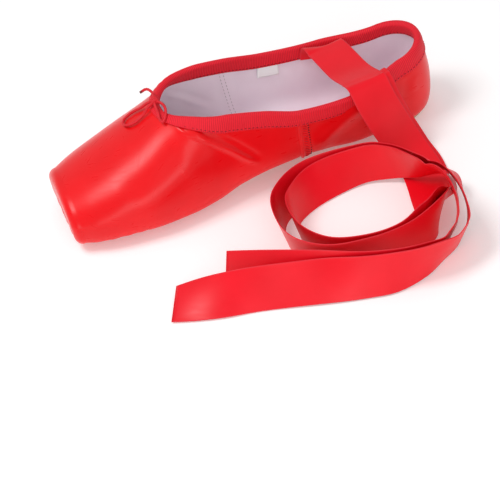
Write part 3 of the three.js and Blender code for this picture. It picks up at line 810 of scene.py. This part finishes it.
def outward(run, row):
    run, row = np.broadcast_arrays(np.asarray(run, float), np.asarray(row, float))
    forward = (outside(np.minimum(run + STEP, RUN_END - 1), row)
               - outside(np.maximum(run - STEP, -HEEL_RUN), row))
    across = outside(run, np.minimum(row + STEP, 3)) - outside(run, np.maximum(row - STEP, 0))
    normal = np.cross(across, forward)
    normal[..., 1] = np.where(on_middle(run, row), 0, normal[..., 1])
    return np.where((run > RUN_END - 0.99)[..., None], (1.0, 0.0, 0.0), unit(normal))


def shell(run, row, offset):
    run, row = np.broadcast_arrays(np.asarray(run, float), np.asarray(row, float))
    points = outside(run, row) + outward(run, row) * np.broadcast_to(offset, run.shape)[..., None]
    points[..., 1] = np.where(on_middle(run, row), 0, points[..., 1])
    return points


def inside(run, row, offset=0.0):
    return shell(run, row, -half_section(run)[2]["wall"] - offset)


# %% Walking from the collar edge


def settled(target):
    """The place on the wall or vamp nearest to each point."""
    ahead = target[..., 0] + LENGTH / 2 - HEEL_CENTRE
    run = np.where(ahead >= 0, ahead, -np.arctan2(-ahead, target[..., 1]) / (math.pi / 2) * HEEL_RUN)
    low, high = np.full(run.shape, 2.0), np.full(run.shape, 3.0)
    for _ in range(30):
        third = (high - low) / 3
        lower = np.linalg.norm(outside(run, low + third) - target, axis=-1)
        upper = np.linalg.norm(outside(run, high - third) - target, axis=-1)
        closer = lower < upper
        high = np.where(closer, high - third, high)
        low = np.where(closer, low, low + third)
    return run, np.where(high > 2.9999, 3.0, (low + high) / 2)


def from_edge(run, distance, steps=4):
    """The place reached by walking over the outside, squarely away from the collar edge."""
    run, distance = np.broadcast_arrays(np.asarray(run, float), np.asarray(distance, float))
    at, row = run, np.full(run.shape, 3.0)
    ahead, behind = np.minimum(run + 0.05, placed(THROAT)), np.maximum(run - 0.05, -HEEL_RUN)
    edge = unit(outside(ahead, 3) - outside(behind, 3))
    square = np.stack((np.zeros(run.shape), np.where(run < 0, 1.0, -1.0), np.zeros(run.shape)), axis=-1)
    edge = np.where(on_middle(run, row)[..., None], square, edge)
    for _ in range(steps):
        away = unit(np.cross(outward(at, row), edge))
        at, row = settled(outside(at, row) + away * (distance / steps)[..., None])
    return at, row


# %% Stations
SEAM_REACH, SEAM_STEP = 4.5, 0.4


def round_throat(count):
    return placed(THROAT - THROAT_ROUND * (1 - np.cos(np.radians(np.linspace(90, 0, count)))))


def stations(spacing):
    """Runs from the heel's middle to the middle of the toe platform."""
    heel = -HEEL_RUN * np.linspace(1, 0, round(HEEL_RUN / spacing))[:-1]
    quarter = np.linspace(0, placed(THROAT - THROAT_ROUND), round(112 / spacing))[:-1]
    vamp = np.linspace(placed(THROAT), placed(LENGTH - TOE_RIM), round(63 / spacing))[1:]
    rim = placed(LENGTH - TOE_RIM) + TOE_RIM * np.linspace(0, 1, 9)[1:]
    platform = RUN_END - 1 + np.linspace(0, 1, 11)[1:]
    seam = placed(SEAM_ALONG) + np.arange(-SEAM_REACH, SEAM_REACH, SEAM_STEP)
    quarter = np.concatenate((quarter[np.abs(quarter - placed(SEAM_ALONG)) > SEAM_REACH + 0.1], seam))
    return np.concatenate((heel, np.sort(quarter), round_throat(round(44 / spacing)), vamp, rim, platform))


def two_halves(near, far, cloth):
    """Joins the near half and the far half, each a grid of lines and points."""
    lines, count = near.shape[:2]
    faces = grid_faces(lines, count) + grid_faces(lines, count, start=lines * count, flip=True)
    points = np.concatenate((near.reshape(-1, 3), far.reshape(-1, 3)))
    return points, faces, np.tile(cloth.reshape(-1, 2), (2, 1))


MIRROR = np.array((1.0, -1.0, 1.0))
print("stations at 1.3 mm:", stations(1.3).size)

# %% [markdown]
# ## Folds in the cloth
# New satin on a stiff shoe is mostly smooth, with a few soft folds where the cloth is slack: one long fold
# runs from the throat down to the waist, short ones start under the binding, and the quarter behind the
# side seam sags. Cloth simulation would put folds somewhere else each time, so the folds are listed
# as ridges with a trough beside them, each along its own short line on the side of the shoe.

# %% Fold table: side, height, width, trough, then points as distance from the heel and height
FOLDS = [
    (1, 1.7, 1.7, 0.6, [(159, 57), (152, 53.4), (144.9, 46.8), (135.1, 37.8), (127, 28.3), (119, 19)]),
    (1, 0.8, 1.1, 0.7, [(160, 55.5), (152.6, 51), (144, 45)]),
    (1, -0.5, 1.5, 0.0, [(160, 57.6), (152, 57), (144, 55)]),
    (1, -0.6, 5.0, 0.0, [(160, 50), (169.3, 42.6), (178.5, 37.1), (190.9, 33.6), (203, 30.8)]),
    (1, 0.6, 6.0, 0.0, [(148, 40), (160, 36.8), (175.8, 32.4), (199, 29.3), (215, 24)]),
    (1, 2.4, 6.0, 0.3, [(50, 36), (61.6, 31), (72.2, 25), (80.8, 18.8), (88, 13)]),
    (1, -0.8, 3.0, 0.0, [(24.5, 21), (22, 29), (20.5, 36)]),
    (1, 0.5, 3.0, 0.0, [(19, 24), (17.5, 35)]),
    (-1, 0.7, 3.0, 0.7, [(154, 53), (144, 45), (131, 33), (120, 23)]),
    (-1, 0.8, 5.0, 0.6, [(57, 30), (72, 23), (84, 17)]),
    (-1, -0.5, 1.6, 0.0, [(162, 57), (148, 54.6)]),
]
LINING_FOLDS = [
    (-1, 0.6, 1.8, 0.7, [(154, 46), (144.1, 37.6), (136, 30.5), (126, 22)]),
    (1, 0.5, 1.8, 0.7, [(152, 46), (142, 36), (128, 24)]),
    (-1, 0.4, 2.4, 0.5, [(70, 34), (58, 24), (48, 14)]),
    (1, 0.4, 2.4, 0.5, [(74, 30), (60, 20)]),
]


def smoothed(value):
    value = np.clip(value, 0, 1)
    return value * value * (3 - 2 * value)


def along_fold(place, line):
    """Signed distance to a fold's line and the share of its length where each place is nearest."""
    line = np.asarray(through(line, 6))
    run = distances(line)
    best = np.full(place.shape[:-1], 1e9)
    signed, share = np.zeros_like(best), np.zeros_like(best)
    for start, end, passed in zip(line, line[1:], run):
        step = end - start
        length = np.linalg.norm(step)
        offset = place - start
        reach = np.clip((offset @ step) / length ** 2, 0, 1)
        away = np.linalg.norm(offset - reach[..., None] * step, axis=-1)
        nearer = away < best
        turn = step[0] * offset[..., 1] - step[1] * offset[..., 0]
        best = np.where(nearer, away, best)
        signed = np.where(nearer, np.copysign(away, turn), signed)
        share = np.where(nearer, (passed + reach * length) / run[-1], share)
    return signed, share


def folded(points, folds, side):
    """How far the cloth of one side stands out at each point."""
    place = np.stack((points[..., 0] + LENGTH / 2, points[..., 2]), axis=-1)
    lift = np.zeros(place.shape[:-1])
    for fold_side, height, width, trough, line in folds:
        if fold_side != side:
            continue
        away, share = along_fold(place, line)
        ends = smoothed(share / 0.2) * smoothed((1 - share) / 0.25)
        ridge = np.exp(-(away / width) ** 2)
        hollow = trough * np.exp(-((np.abs(away + 2.1 * width) / (1.3 * width)) ** 2))
        lift += height * ends * (ridge - hollow)
    return lift


print("folds outside:", len(FOLDS), "inside:", len(LINING_FOLDS))

# %% [markdown]
# ## Satin upper
# The satin is pulled over the last in one skin, so it is one fine grid over the outside, mirrored for the
# far half. The side seam is a rolled edge with a flat strip behind it, the folds are added along the
# surface's own normals, and under the toe the cloth is gathered in pleats that run in to the tip of the
# sole. Solidify gives the cloth its thickness.

# %% Satin upper
ROLL_HEIGHT, STRIP_HEIGHT, GROOVE_DEPTH = 0.9, 0.45, 0.35
DEEPEST_FOLD = -0.5
CLOTH_THICK = 0.6
SATIN_SPACING = 1.0
SATIN_ROWS = np.concatenate((np.linspace(0, 1, 8)[:-1], np.linspace(1, 2, 18)[:-1], np.linspace(2, 3, 58)))
PLEAT_CENTRE = 66.0
PLEATS = 34
PLEAT_DEPTH = 0.55


def seam_lift(run, row):
    """A rolled edge on the toe side, a flat strip behind it and a groove along both."""
    ahead = run - placed(SEAM_ALONG)
    roll = ROLL_HEIGHT * np.exp(-((ahead - SEAM_HALF + 0.6) / 0.7) ** 2)
    strip = STRIP_HEIGHT * smoothed((SEAM_HALF - ahead) / 0.6) * smoothed((ahead + SEAM_HALF + 0.4) / 1.2)
    grooves = GROOVE_DEPTH * np.exp(-((np.abs(ahead) - SEAM_HALF - 0.6) / 0.7) ** 2)
    return (roll + strip - grooves) * smoothed((row - 1) / 0.3)


def pleat_lift(points, run, row):
    """Gathers under the toe, deepest beside the sole's tip and gone where the vamp starts."""
    angle = np.arctan2(points[..., 1], points[..., 0] - PLEAT_CENTRE)
    reach = smoothed((run - placed(184)) / 12) * smoothed((1.75 - row) / 0.6)
    return -PLEAT_DEPTH * reach * (0.5 + 0.5 * np.cos(PLEATS * angle))


def satin_half(side):
    run = stations(SATIN_SPACING)[:, None]
    row = SATIN_ROWS[None, :]
    points = outside(run, row)
    lift = seam_lift(run, row) + pleat_lift(points, run, row)
    lift = lift + folded(points, FOLDS, side) * smoothed((row - 1.2) / 0.5)
    middle = on_middle(*np.broadcast_arrays(run, row))
    made = shell(run, row, np.where(middle, 0, np.maximum(lift, DEEPEST_FOLD)))
    return made if side > 0 else made * MIRROR


def cloth_map(points):
    """UV in metres: along the shoe, and up each section."""
    steps = np.linalg.norm(np.diff(points, axis=1), axis=-1)
    up = np.concatenate((np.zeros((points.shape[0], 1)), np.cumsum(steps, axis=1)), axis=1)
    along = distances(points[:, points.shape[1] // 2])
    return cloth_grid(along[:, None], up)


near_satin, far_satin = satin_half(1), satin_half(-1)
satin_grid = two_halves(near_satin, far_satin, cloth_map(near_satin))
satin_upper = piece("satin_upper", *satin_grid, SATIN, merge=0.004)
thicken(satin_upper, CLOTH_THICK)
finished(satin_upper, "satin", "upper")

# %% [markdown]
# ## Cotton lining
# The inside is lined with pale cotton drill, joined at the waist by a double row of stitches. It is the
# inside of the same last, so the same functions make it with the wall's thickness as an inward offset.

# %% Cotton lining
LINING_THICK = 0.5
LINING_SPACING = 1.9
LINING_ROWS = np.concatenate((np.linspace(0, 1, 6)[:-1], np.linspace(1, 2, 12)[:-1], np.linspace(2, 3, 36)))
LINING_SEAM = 116.0
JOINT_HEIGHT, JOINT_HALF = 0.35, 4


def lining_half(side):
    run = stations(LINING_SPACING)[:, None]
    row = LINING_ROWS[None, :]
    points = inside(run, row)
    ahead = run - placed(LINING_SEAM)
    joint = JOINT_HEIGHT * smoothed((ahead + JOINT_HALF) / 0.8) * smoothed((JOINT_HALF - ahead) / 3)
    lift = folded(points, LINING_FOLDS, side) * smoothed((row - 1.5) / 0.5)
    lift = lift + joint * smoothed((row - 1.2) / 0.5)
    middle = on_middle(*np.broadcast_arrays(run, row))
    made = inside(run, row, np.where(middle, 0, np.clip(lift, -0.6, 0.9)))
    return made if side > 0 else made * MIRROR


near_lining, far_lining = lining_half(1), lining_half(-1)
lining_points, lining_faces, lining_cloth = two_halves(near_lining, far_lining, cloth_map(near_lining))
facing_in = [face[::-1] for face in lining_faces]
lining = piece("cotton_lining", lining_points, facing_in, lining_cloth, LINING, merge=0.004)
thicken(lining, LINING_THICK)
finished(lining, "lining", "upper")

# %% [markdown]
# ## Collar binding
# A ribbed tape is folded over the collar edge and sewn down on both sides, and it makes the tunnel for the
# drawstring. The strip goes up the outer flap, over a rounded crown and down the inner flap. A slight
# swelling near the crown is the cord inside, and small gathers show where the cord is drawn tight at the
# throat.

# %% Collar binding
GAP = 0.3
BINDING_OUTSIDE, BINDING_INSIDE = 8.8, 7.0
BINDING_THICK, BINDING_SLACK, BINDING_TAPER = 0.7, 0.5, 0.6
TUNNEL_SWELL = 0.35
GATHER_DEPTH, GATHER_PITCH = 0.22, 4.2


def flap(run, full):
    """The flaps grow narrower towards the throat."""
    near = np.maximum(0, (run - placed(THROAT - THROAT_ROUND)) / THROAT_ROUND)
    return full * (1 - BINDING_TAPER * near)


def collar_runs(spacing):
    runs = stations(spacing)
    return runs[runs <= placed(THROAT) + 1e-6]


def edge_length(runs):
    return distances(outside(runs, 3))


def binding_half():
    runs = collar_runs(1.2)
    length = edge_length(runs)
    gather = GATHER_DEPTH * np.sin(length * 2 * math.pi / GATHER_PITCH) * smoothed((runs - placed(132)) / 24)
    lines = []
    for share in np.linspace(1, 0, 9):
        down = flap(runs, BINDING_OUTSIDE) * share
        swell = TUNNEL_SWELL * np.exp(-((down - 2.6) / 2.2) ** 2)
        ruffle = gather * np.exp(-((share - 0.45) / 0.35) ** 2)
        lines.append(shell(*from_edge(runs, down), GAP + BINDING_THICK + swell + ruffle))
    inner = []
    for share in np.linspace(0, 1, 6):
        reached = from_edge(runs, flap(runs, BINDING_INSIDE) * share)
        inner.append(inside(*reached, BINDING_SLACK + BINDING_THICK))
    up = unit(lines[-1] - shell(*from_edge(runs, 1.0), GAP + BINDING_THICK))
    across = inner[0] - lines[-1]
    for angle in np.radians((30, 60, 90, 120, 150)):
        rise = up * (GAP + BINDING_THICK + 0.35) * math.sin(angle)
        lines.append(lines[8] + across * (1 - math.cos(angle)) / 2 + rise)
    grid = np.stack((*lines, *inner), axis=1)
    grid[..., 1] = np.where(on_middle(runs, 3)[:, None], 0, grid[..., 1])
    return grid, length


near_binding, binding_length = binding_half()
binding_cloth = cloth_grid(binding_length[:, None], distances(near_binding[40])[None, :])
binding = piece(
    "collar_tape", *two_halves(near_binding, near_binding * MIRROR, binding_cloth), BINDING, merge=0.002)
thicken(binding, BINDING_THICK - 0.1)
finished(binding, "binding", "collar_binding")

# %% [markdown]
# ## Sole, insole and label
# The outsole is a small piece of suede on the bottom, much narrower than the shoe, with softly worn edges.
# The insole is a cotton-covered board inside, and a bare white tape label is sewn under the binding of the
# far wall. The first two share one way of building: a ring round each cross section, rounded at its corners
# and at both ends.

# %% Outsole and insole
SOLE_PLACES = (22, 48, 70, 91, 110, 130, 146, 160, 186)
SOLE_HALF = smooth(SOLE_PLACES, (17, 16, 13.8, 12.6, 13.6, 18, 22.4, 24.2, 24.2))
SOLE_THICK, INSOLE_THICK = 2.8, 1.5
SOLE_ENDS, INSOLE_ENDS = (6.0, 16.0, 194.0, 28.0), (6.6, 15.4, 216.0, 34.0)
INSOLE_CLEAR = 0.5


def plate(name, width, ends, lift, thick, round_edge, material):
    back, back_round, tip, tip_round = ends
    turn = np.radians(np.linspace(2, 90, 24))
    along = np.concatenate((back + back_round * (1 - np.cos(turn)),
                            np.linspace(back + back_round, tip - tip_round, 70)[1:-1],
                            tip - tip_round * (1 - np.cos(turn[::-1]))))
    half = width(along) * rounding(along, tip, tip_round) * rounding(-along, -back, back_round)
    bottom = COLUMNS["floor"](along) + lift(along)
    corner = np.radians(np.linspace(0, 90, 6))
    out, up = [], []
    for middle, start in ((round_edge, -90), (thick - round_edge, 0)):
        for angle in corner + math.radians(start):
            out.append(np.maximum(half - round_edge + round_edge * math.cos(angle), 0.02))
            up.append(bottom + middle + round_edge * math.sin(angle))
    out, up = np.array(out).T, np.array(up).T
    inner = np.linspace(0, 1, 9)[1:-1]
    bottom_out = out[:, :1] * inner[None, :]
    top_out = out[:, -1:] * inner[None, ::-1]
    y = np.concatenate((bottom_out, out, top_out), axis=1)
    z = np.pad(up, ((0, 0), (inner.size, inner.size)), mode="edge")
    y = np.concatenate((y, -y[:, ::-1]), axis=1)
    z = np.concatenate((z, z[:, ::-1]), axis=1)
    x = np.broadcast_to(along[:, None] - LENGTH / 2, y.shape)
    points = np.stack((x, y, z), axis=-1)
    lines, ring = y.shape
    return piece(name, points, tube_faces(lines, ring), cloth_grid(x, y), material)


outsole = plate("suede_outsole", SOLE_HALF, SOLE_ENDS,
                lambda along: -GAP - SOLE_THICK, SOLE_THICK, 0.9, SUEDE)
finished(outsole, "sole_leather", "outsole")
insole = plate("insole_sock", lambda along: COLUMNS["tread"](along) - INSOLE_CLEAR, INSOLE_ENDS,
               lambda along: COLUMNS["wall"](along) + GAP, INSOLE_THICK, 0.6, INSOLE)
finished(insole, "lining", "insole")

# %% Bare label
LABEL_FROM, LABEL_LONG, LABEL_TALL, LABEL_THICK = 81.0, 12.5, 5.6, 0.4


def label_tape():
    """A small tape that follows the far wall and curls a little away from it at its free lower corners."""
    share = np.linspace(0, 1, 15)
    down = np.linspace(-1.2, LABEL_TALL, 9)
    runs = placed(LABEL_FROM + LABEL_LONG * share)[:, None]
    curl = 0.25 * (np.abs(2 * share - 1)[:, None] ** 4) * smoothed(down / LABEL_TALL)[None, :]
    at = from_edge(runs, BINDING_INSIDE + 0.5 + down[None, :])
    points = inside(*at, GAP + LABEL_THICK + curl) * MIRROR
    cloth = cloth_grid(LABEL_LONG * share[:, None], down[None, :])
    return piece("bare_label", points, grid_faces(share.size, down.size), cloth, LABEL)


label = label_tape()
thicken(label, LABEL_THICK)
finished(label, "label", "size_label")

# %% [markdown]
# ## Stitches
# Small stitches run along both edges of the binding, down each side seam and along the lining's joint.
# Hundreds of hand-placed capsules would be slow to change, so a Geometry Nodes tree does it: a guide line
# carries the direction that its stitches face, the line is cut into even steps, and one small stitch is put
# on each step.

# %% Stitch tree


def stitch_tree():
    tree = bpy.data.node_groups.new("Stitch row", "GeometryNodeTree")
    sockets = {"Guide": "NodeSocketGeometry", "Spacing": FLOAT, "Length": FLOAT, "Thread": FLOAT,
               "Slant": FLOAT, "Finish": "NodeSocketMaterial"}
    for name, kind in sockets.items():
        tree.interface.new_socket(name, in_out="INPUT", socket_type=kind)
    tree.interface.new_socket("Stitches", in_out="OUTPUT", socket_type="NodeSocketGeometry")
    given = tree.nodes.new("NodeGroupInput").outputs
    result = tree.nodes.new("NodeGroupOutput").inputs

    def node(kind, inputs, **settings):
        """A node whose inputs are numbers or sockets to link; gives its first output."""
        made = tree.nodes.new(kind)
        for name, value in settings.items():
            setattr(made, name, value)
        for name, value in inputs.items():
            if isinstance(value, bpy.types.NodeSocket):
                tree.links.new(value, made.inputs[name])
            else:
                made.inputs[name].default_value = value
        return made.outputs[0]

    line = node("GeometryNodeMeshToCurve", {"Mesh": given["Guide"]})
    steps = node("GeometryNodeResampleCurve", {"Curve": line, "Length": given["Spacing"]}, mode="LENGTH")
    facing = node("GeometryNodeInputNamedAttribute", {"Name": "facing"}, data_type="FLOAT_VECTOR")
    tangent = node("GeometryNodeInputTangent", {})
    upright = node("FunctionNodeAlignRotationToVector", {"Vector": facing}, axis="Z")
    lengthwise = node("FunctionNodeAlignRotationToVector", {"Rotation": upright, "Vector": tangent},
                      axis="X", pivot_axis="Z")
    turn = node("FunctionNodeAxisAngleToRotation", {"Axis": (0, 0, 1), "Angle": given["Slant"]})
    slanted = node("FunctionNodeRotateRotation", {"Rotation": lengthwise, "Rotate By": turn},
                   rotation_space="LOCAL")
    half = node("ShaderNodeMath", {0: given["Length"], 1: 0.5}, operation="MULTIPLY")
    size = node("ShaderNodeCombineXYZ", {0: half, 1: given["Thread"], 2: given["Thread"]})
    bead = node("GeometryNodeMeshUVSphere", {"Segments": 8, "Rings": 6, "Radius": 1})
    shaped = node("GeometryNodeTransform", {"Geometry": bead, "Scale": size})
    spread = node("GeometryNodeInstanceOnPoints", {"Points": steps, "Instance": shaped, "Rotation": slanted})
    real = node("GeometryNodeRealizeInstances", {0: spread})
    smooth_faces = node("GeometryNodeSetShadeSmooth", {0: real})
    painted = node("GeometryNodeSetMaterial", {"Geometry": smooth_faces, "Material": given["Finish"]})
    tree.links.new(painted, result[0])
    return tree


STITCH_ROW = stitch_tree()
print("tree:", STITCH_ROW.name, "with", len(STITCH_ROW.nodes), "nodes")

# %% Stitch rows


def stitches(name, guides, material, spacing, length, thread, slant=0.0):
    """Rows of stitches along guides; each guide is points and facings in millimetres."""
    points = np.concatenate([guide for guide, _ in guides]) * MM
    facing = np.concatenate([normals for _, normals in guides])
    edges, start = [], 0
    for guide, _ in guides:
        edges += [(start + i, start + i + 1) for i in range(len(guide) - 1)]
        start += len(guide)
    data = bpy.data.meshes.new(name + "_guide")
    data.from_pydata(points.tolist(), edges, [])
    facings = data.attributes.new("facing", "FLOAT_VECTOR", "POINT").data
    facings.foreach_set("vector", facing.astype(np.float32).ravel())
    guide_object = bpy.data.objects.new(name + "_guide", data)
    bpy.context.scene.collection.objects.link(guide_object)
    grow = guide_object.modifiers.new("stitches", "NODES")
    grow.node_group = STITCH_ROW
    values = {"Spacing": spacing * MM, "Length": length * MM, "Thread": thread * MM,
              "Slant": slant, "Finish": material}
    for item in STITCH_ROW.interface.items_tree:
        if item.in_out == "INPUT" and item.name in values:
            grow[item.identifier] = values[item.name]
    ready = guide_object.evaluated_get(bpy.context.evaluated_depsgraph_get())
    made = bpy.data.objects.new(name, bpy.data.meshes.new_from_object(ready))
    bpy.context.scene.collection.objects.link(made)
    bpy.data.objects.remove(guide_object)
    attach(made, "root")
    print(f"{name}: {len(made.data.polygons)} faces")


def round_collar(half, normals):
    """A guide that runs the near side from heel to throat and comes back on the far side."""
    points = np.concatenate((half, half[-2:0:-1] * MIRROR, half[:1]))
    facing = np.concatenate((normals, normals[-2:0:-1] * MIRROR, normals[:1]))
    return points, facing


collar = collar_runs(1.6)
outer_edge = from_edge(collar, flap(collar, BINDING_OUTSIDE) - 1.1)
stitches("binding_stitches", [round_collar(shell(*outer_edge, GAP + BINDING_THICK), outward(*outer_edge))],
         DARK_THREAD_AND_HOLE_SHADE, spacing=2.3, length=1.3, thread=0.2)
inner_edge = from_edge(collar, flap(collar, BINDING_INSIDE) - 0.9)
stitches("inner_binding_stitches",
         [round_collar(inside(*inner_edge, BINDING_SLACK + BINDING_THICK), -outward(*inner_edge))],
         DARK_THREAD_AND_HOLE_SHADE, spacing=2.3, length=1.3, thread=0.2)


def both_walls(points, facing):
    return [(points, facing), (points * MIRROR, facing * MIRROR)]


seam_rows = np.linspace(1.3, 2.68, 60)
whip_run = np.full(seam_rows.size, placed(SEAM_ALONG - 0.5))
hole_shade_run = np.full(seam_rows.size, placed(SEAM_ALONG - SEAM_HALF + 0.1))
# the whip stitches' lighter colour is partly a painted highlight for their glint
stitches("side_seam_whips", both_walls(shell(whip_run, seam_rows, 0.5), outward(whip_run, seam_rows)),
         SEAM_THREAD_AND_PAINTED_GLINT, spacing=1.9, length=3.4, thread=0.42, slant=1.0)
# dark beads along the seam are painted shade standing in for its needle holes
stitches("side_seam_hole_shade", both_walls(shell(hole_shade_run, seam_rows, 0.2), outward(hole_shade_run, seam_rows)),
         DARK_THREAD_AND_HOLE_SHADE, spacing=1.9, length=1.3, thread=0.34, slant=1.0)
joint_rows = np.linspace(1.45, 2.78, 40)
joint_guides = []
for back in (0.0, 2.4):
    joint_run = placed(LINING_SEAM + 2.8 - back) + 3.0 * (joint_rows - 2.8)
    joint_guides += both_walls(inside(joint_run, joint_rows, 0.38), -outward(joint_run, joint_rows))
stitches("lining_stitches", joint_guides, PALE_THREAD, spacing=2.4, length=1.7, thread=0.16)

# %% [markdown]
# ## Floor and light
# A white floor and two lights give the photograph's bright look. A small strong light high over the toe
# makes the long sheen on the vamp, and a wide low one in front fills the near wall. The floor throws light
# back up on the wall above it and glows faintly itself, so that it stays white.

# %% Floor
REACH = 3.0
FLOOR_WHITE, FLOOR_GLOW = 0.94, 0.19
floor_mesh = bpy.data.meshes.new("floor")
floor_mesh.from_pydata([(-REACH, -REACH, 0), (REACH, -REACH, 0), (REACH, REACH, 0), (-REACH, REACH, 0)],
                       [], [(0, 1, 2, 3)])
floor_finish = bpy.data.materials.new("floor_white")
floor_finish.use_nodes = True
white = floor_finish.node_tree.nodes["Principled BSDF"].inputs
white["Base Color"].default_value = (FLOOR_WHITE, FLOOR_WHITE, FLOOR_WHITE, 1)
white["Roughness"].default_value = 0.9
white["Specular IOR Level"].default_value = 0.0
white["Emission Color"].default_value = (1, 1, 1, 1)
white["Emission Strength"].default_value = FLOOR_GLOW
floor_mesh.materials.append(floor_finish)
floor = bpy.data.objects.new("floor", floor_mesh)
bpy.context.scene.collection.objects.link(floor)

# %% Lights
NEARLY_SIDEWAYS = (0.02, 1.0, 0.03)
SHOE_MIDDLE = (0.0, 0.03, 0.03)
SKY_BRIGHTNESS = 0.54


def soft_light(name, place, aim, size, brightness):
    """A square area light of a given brightness, so a larger one gives more light."""
    data = bpy.data.lights.new(name, "AREA")
    data.shape = "RECTANGLE"
    data.size, data.size_y = size
    data.energy = brightness * math.pi * size[0] * size[1]
    back = unit(np.array(place) - np.array(aim))
    right = unit(np.cross(NEARLY_SIDEWAYS, back))
    stand(bpy.data.objects.new(name, data), np.column_stack((right, np.cross(back, right), back)), place)


soft_light("key", (0.37, -0.03, 0.84), SHOE_MIDDLE, (0.36, 0.30), 10.0)
soft_light("fill_front", (0.45, 1.60, 0.38), SHOE_MIDDLE, (2.2, 0.7), 2.4)
sky = bpy.data.worlds.new("studio")
sky.use_nodes = True
sky.node_tree.nodes["Background"].inputs["Color"].default_value = (1, 1, 1, 1)
sky.node_tree.nodes["Background"].inputs["Strength"].default_value = SKY_BRIGHTNESS
bpy.context.scene.world = sky
bpy.context.scene.view_settings.view_transform = "Standard"
print("lights:", [light.name for light in bpy.data.lights])
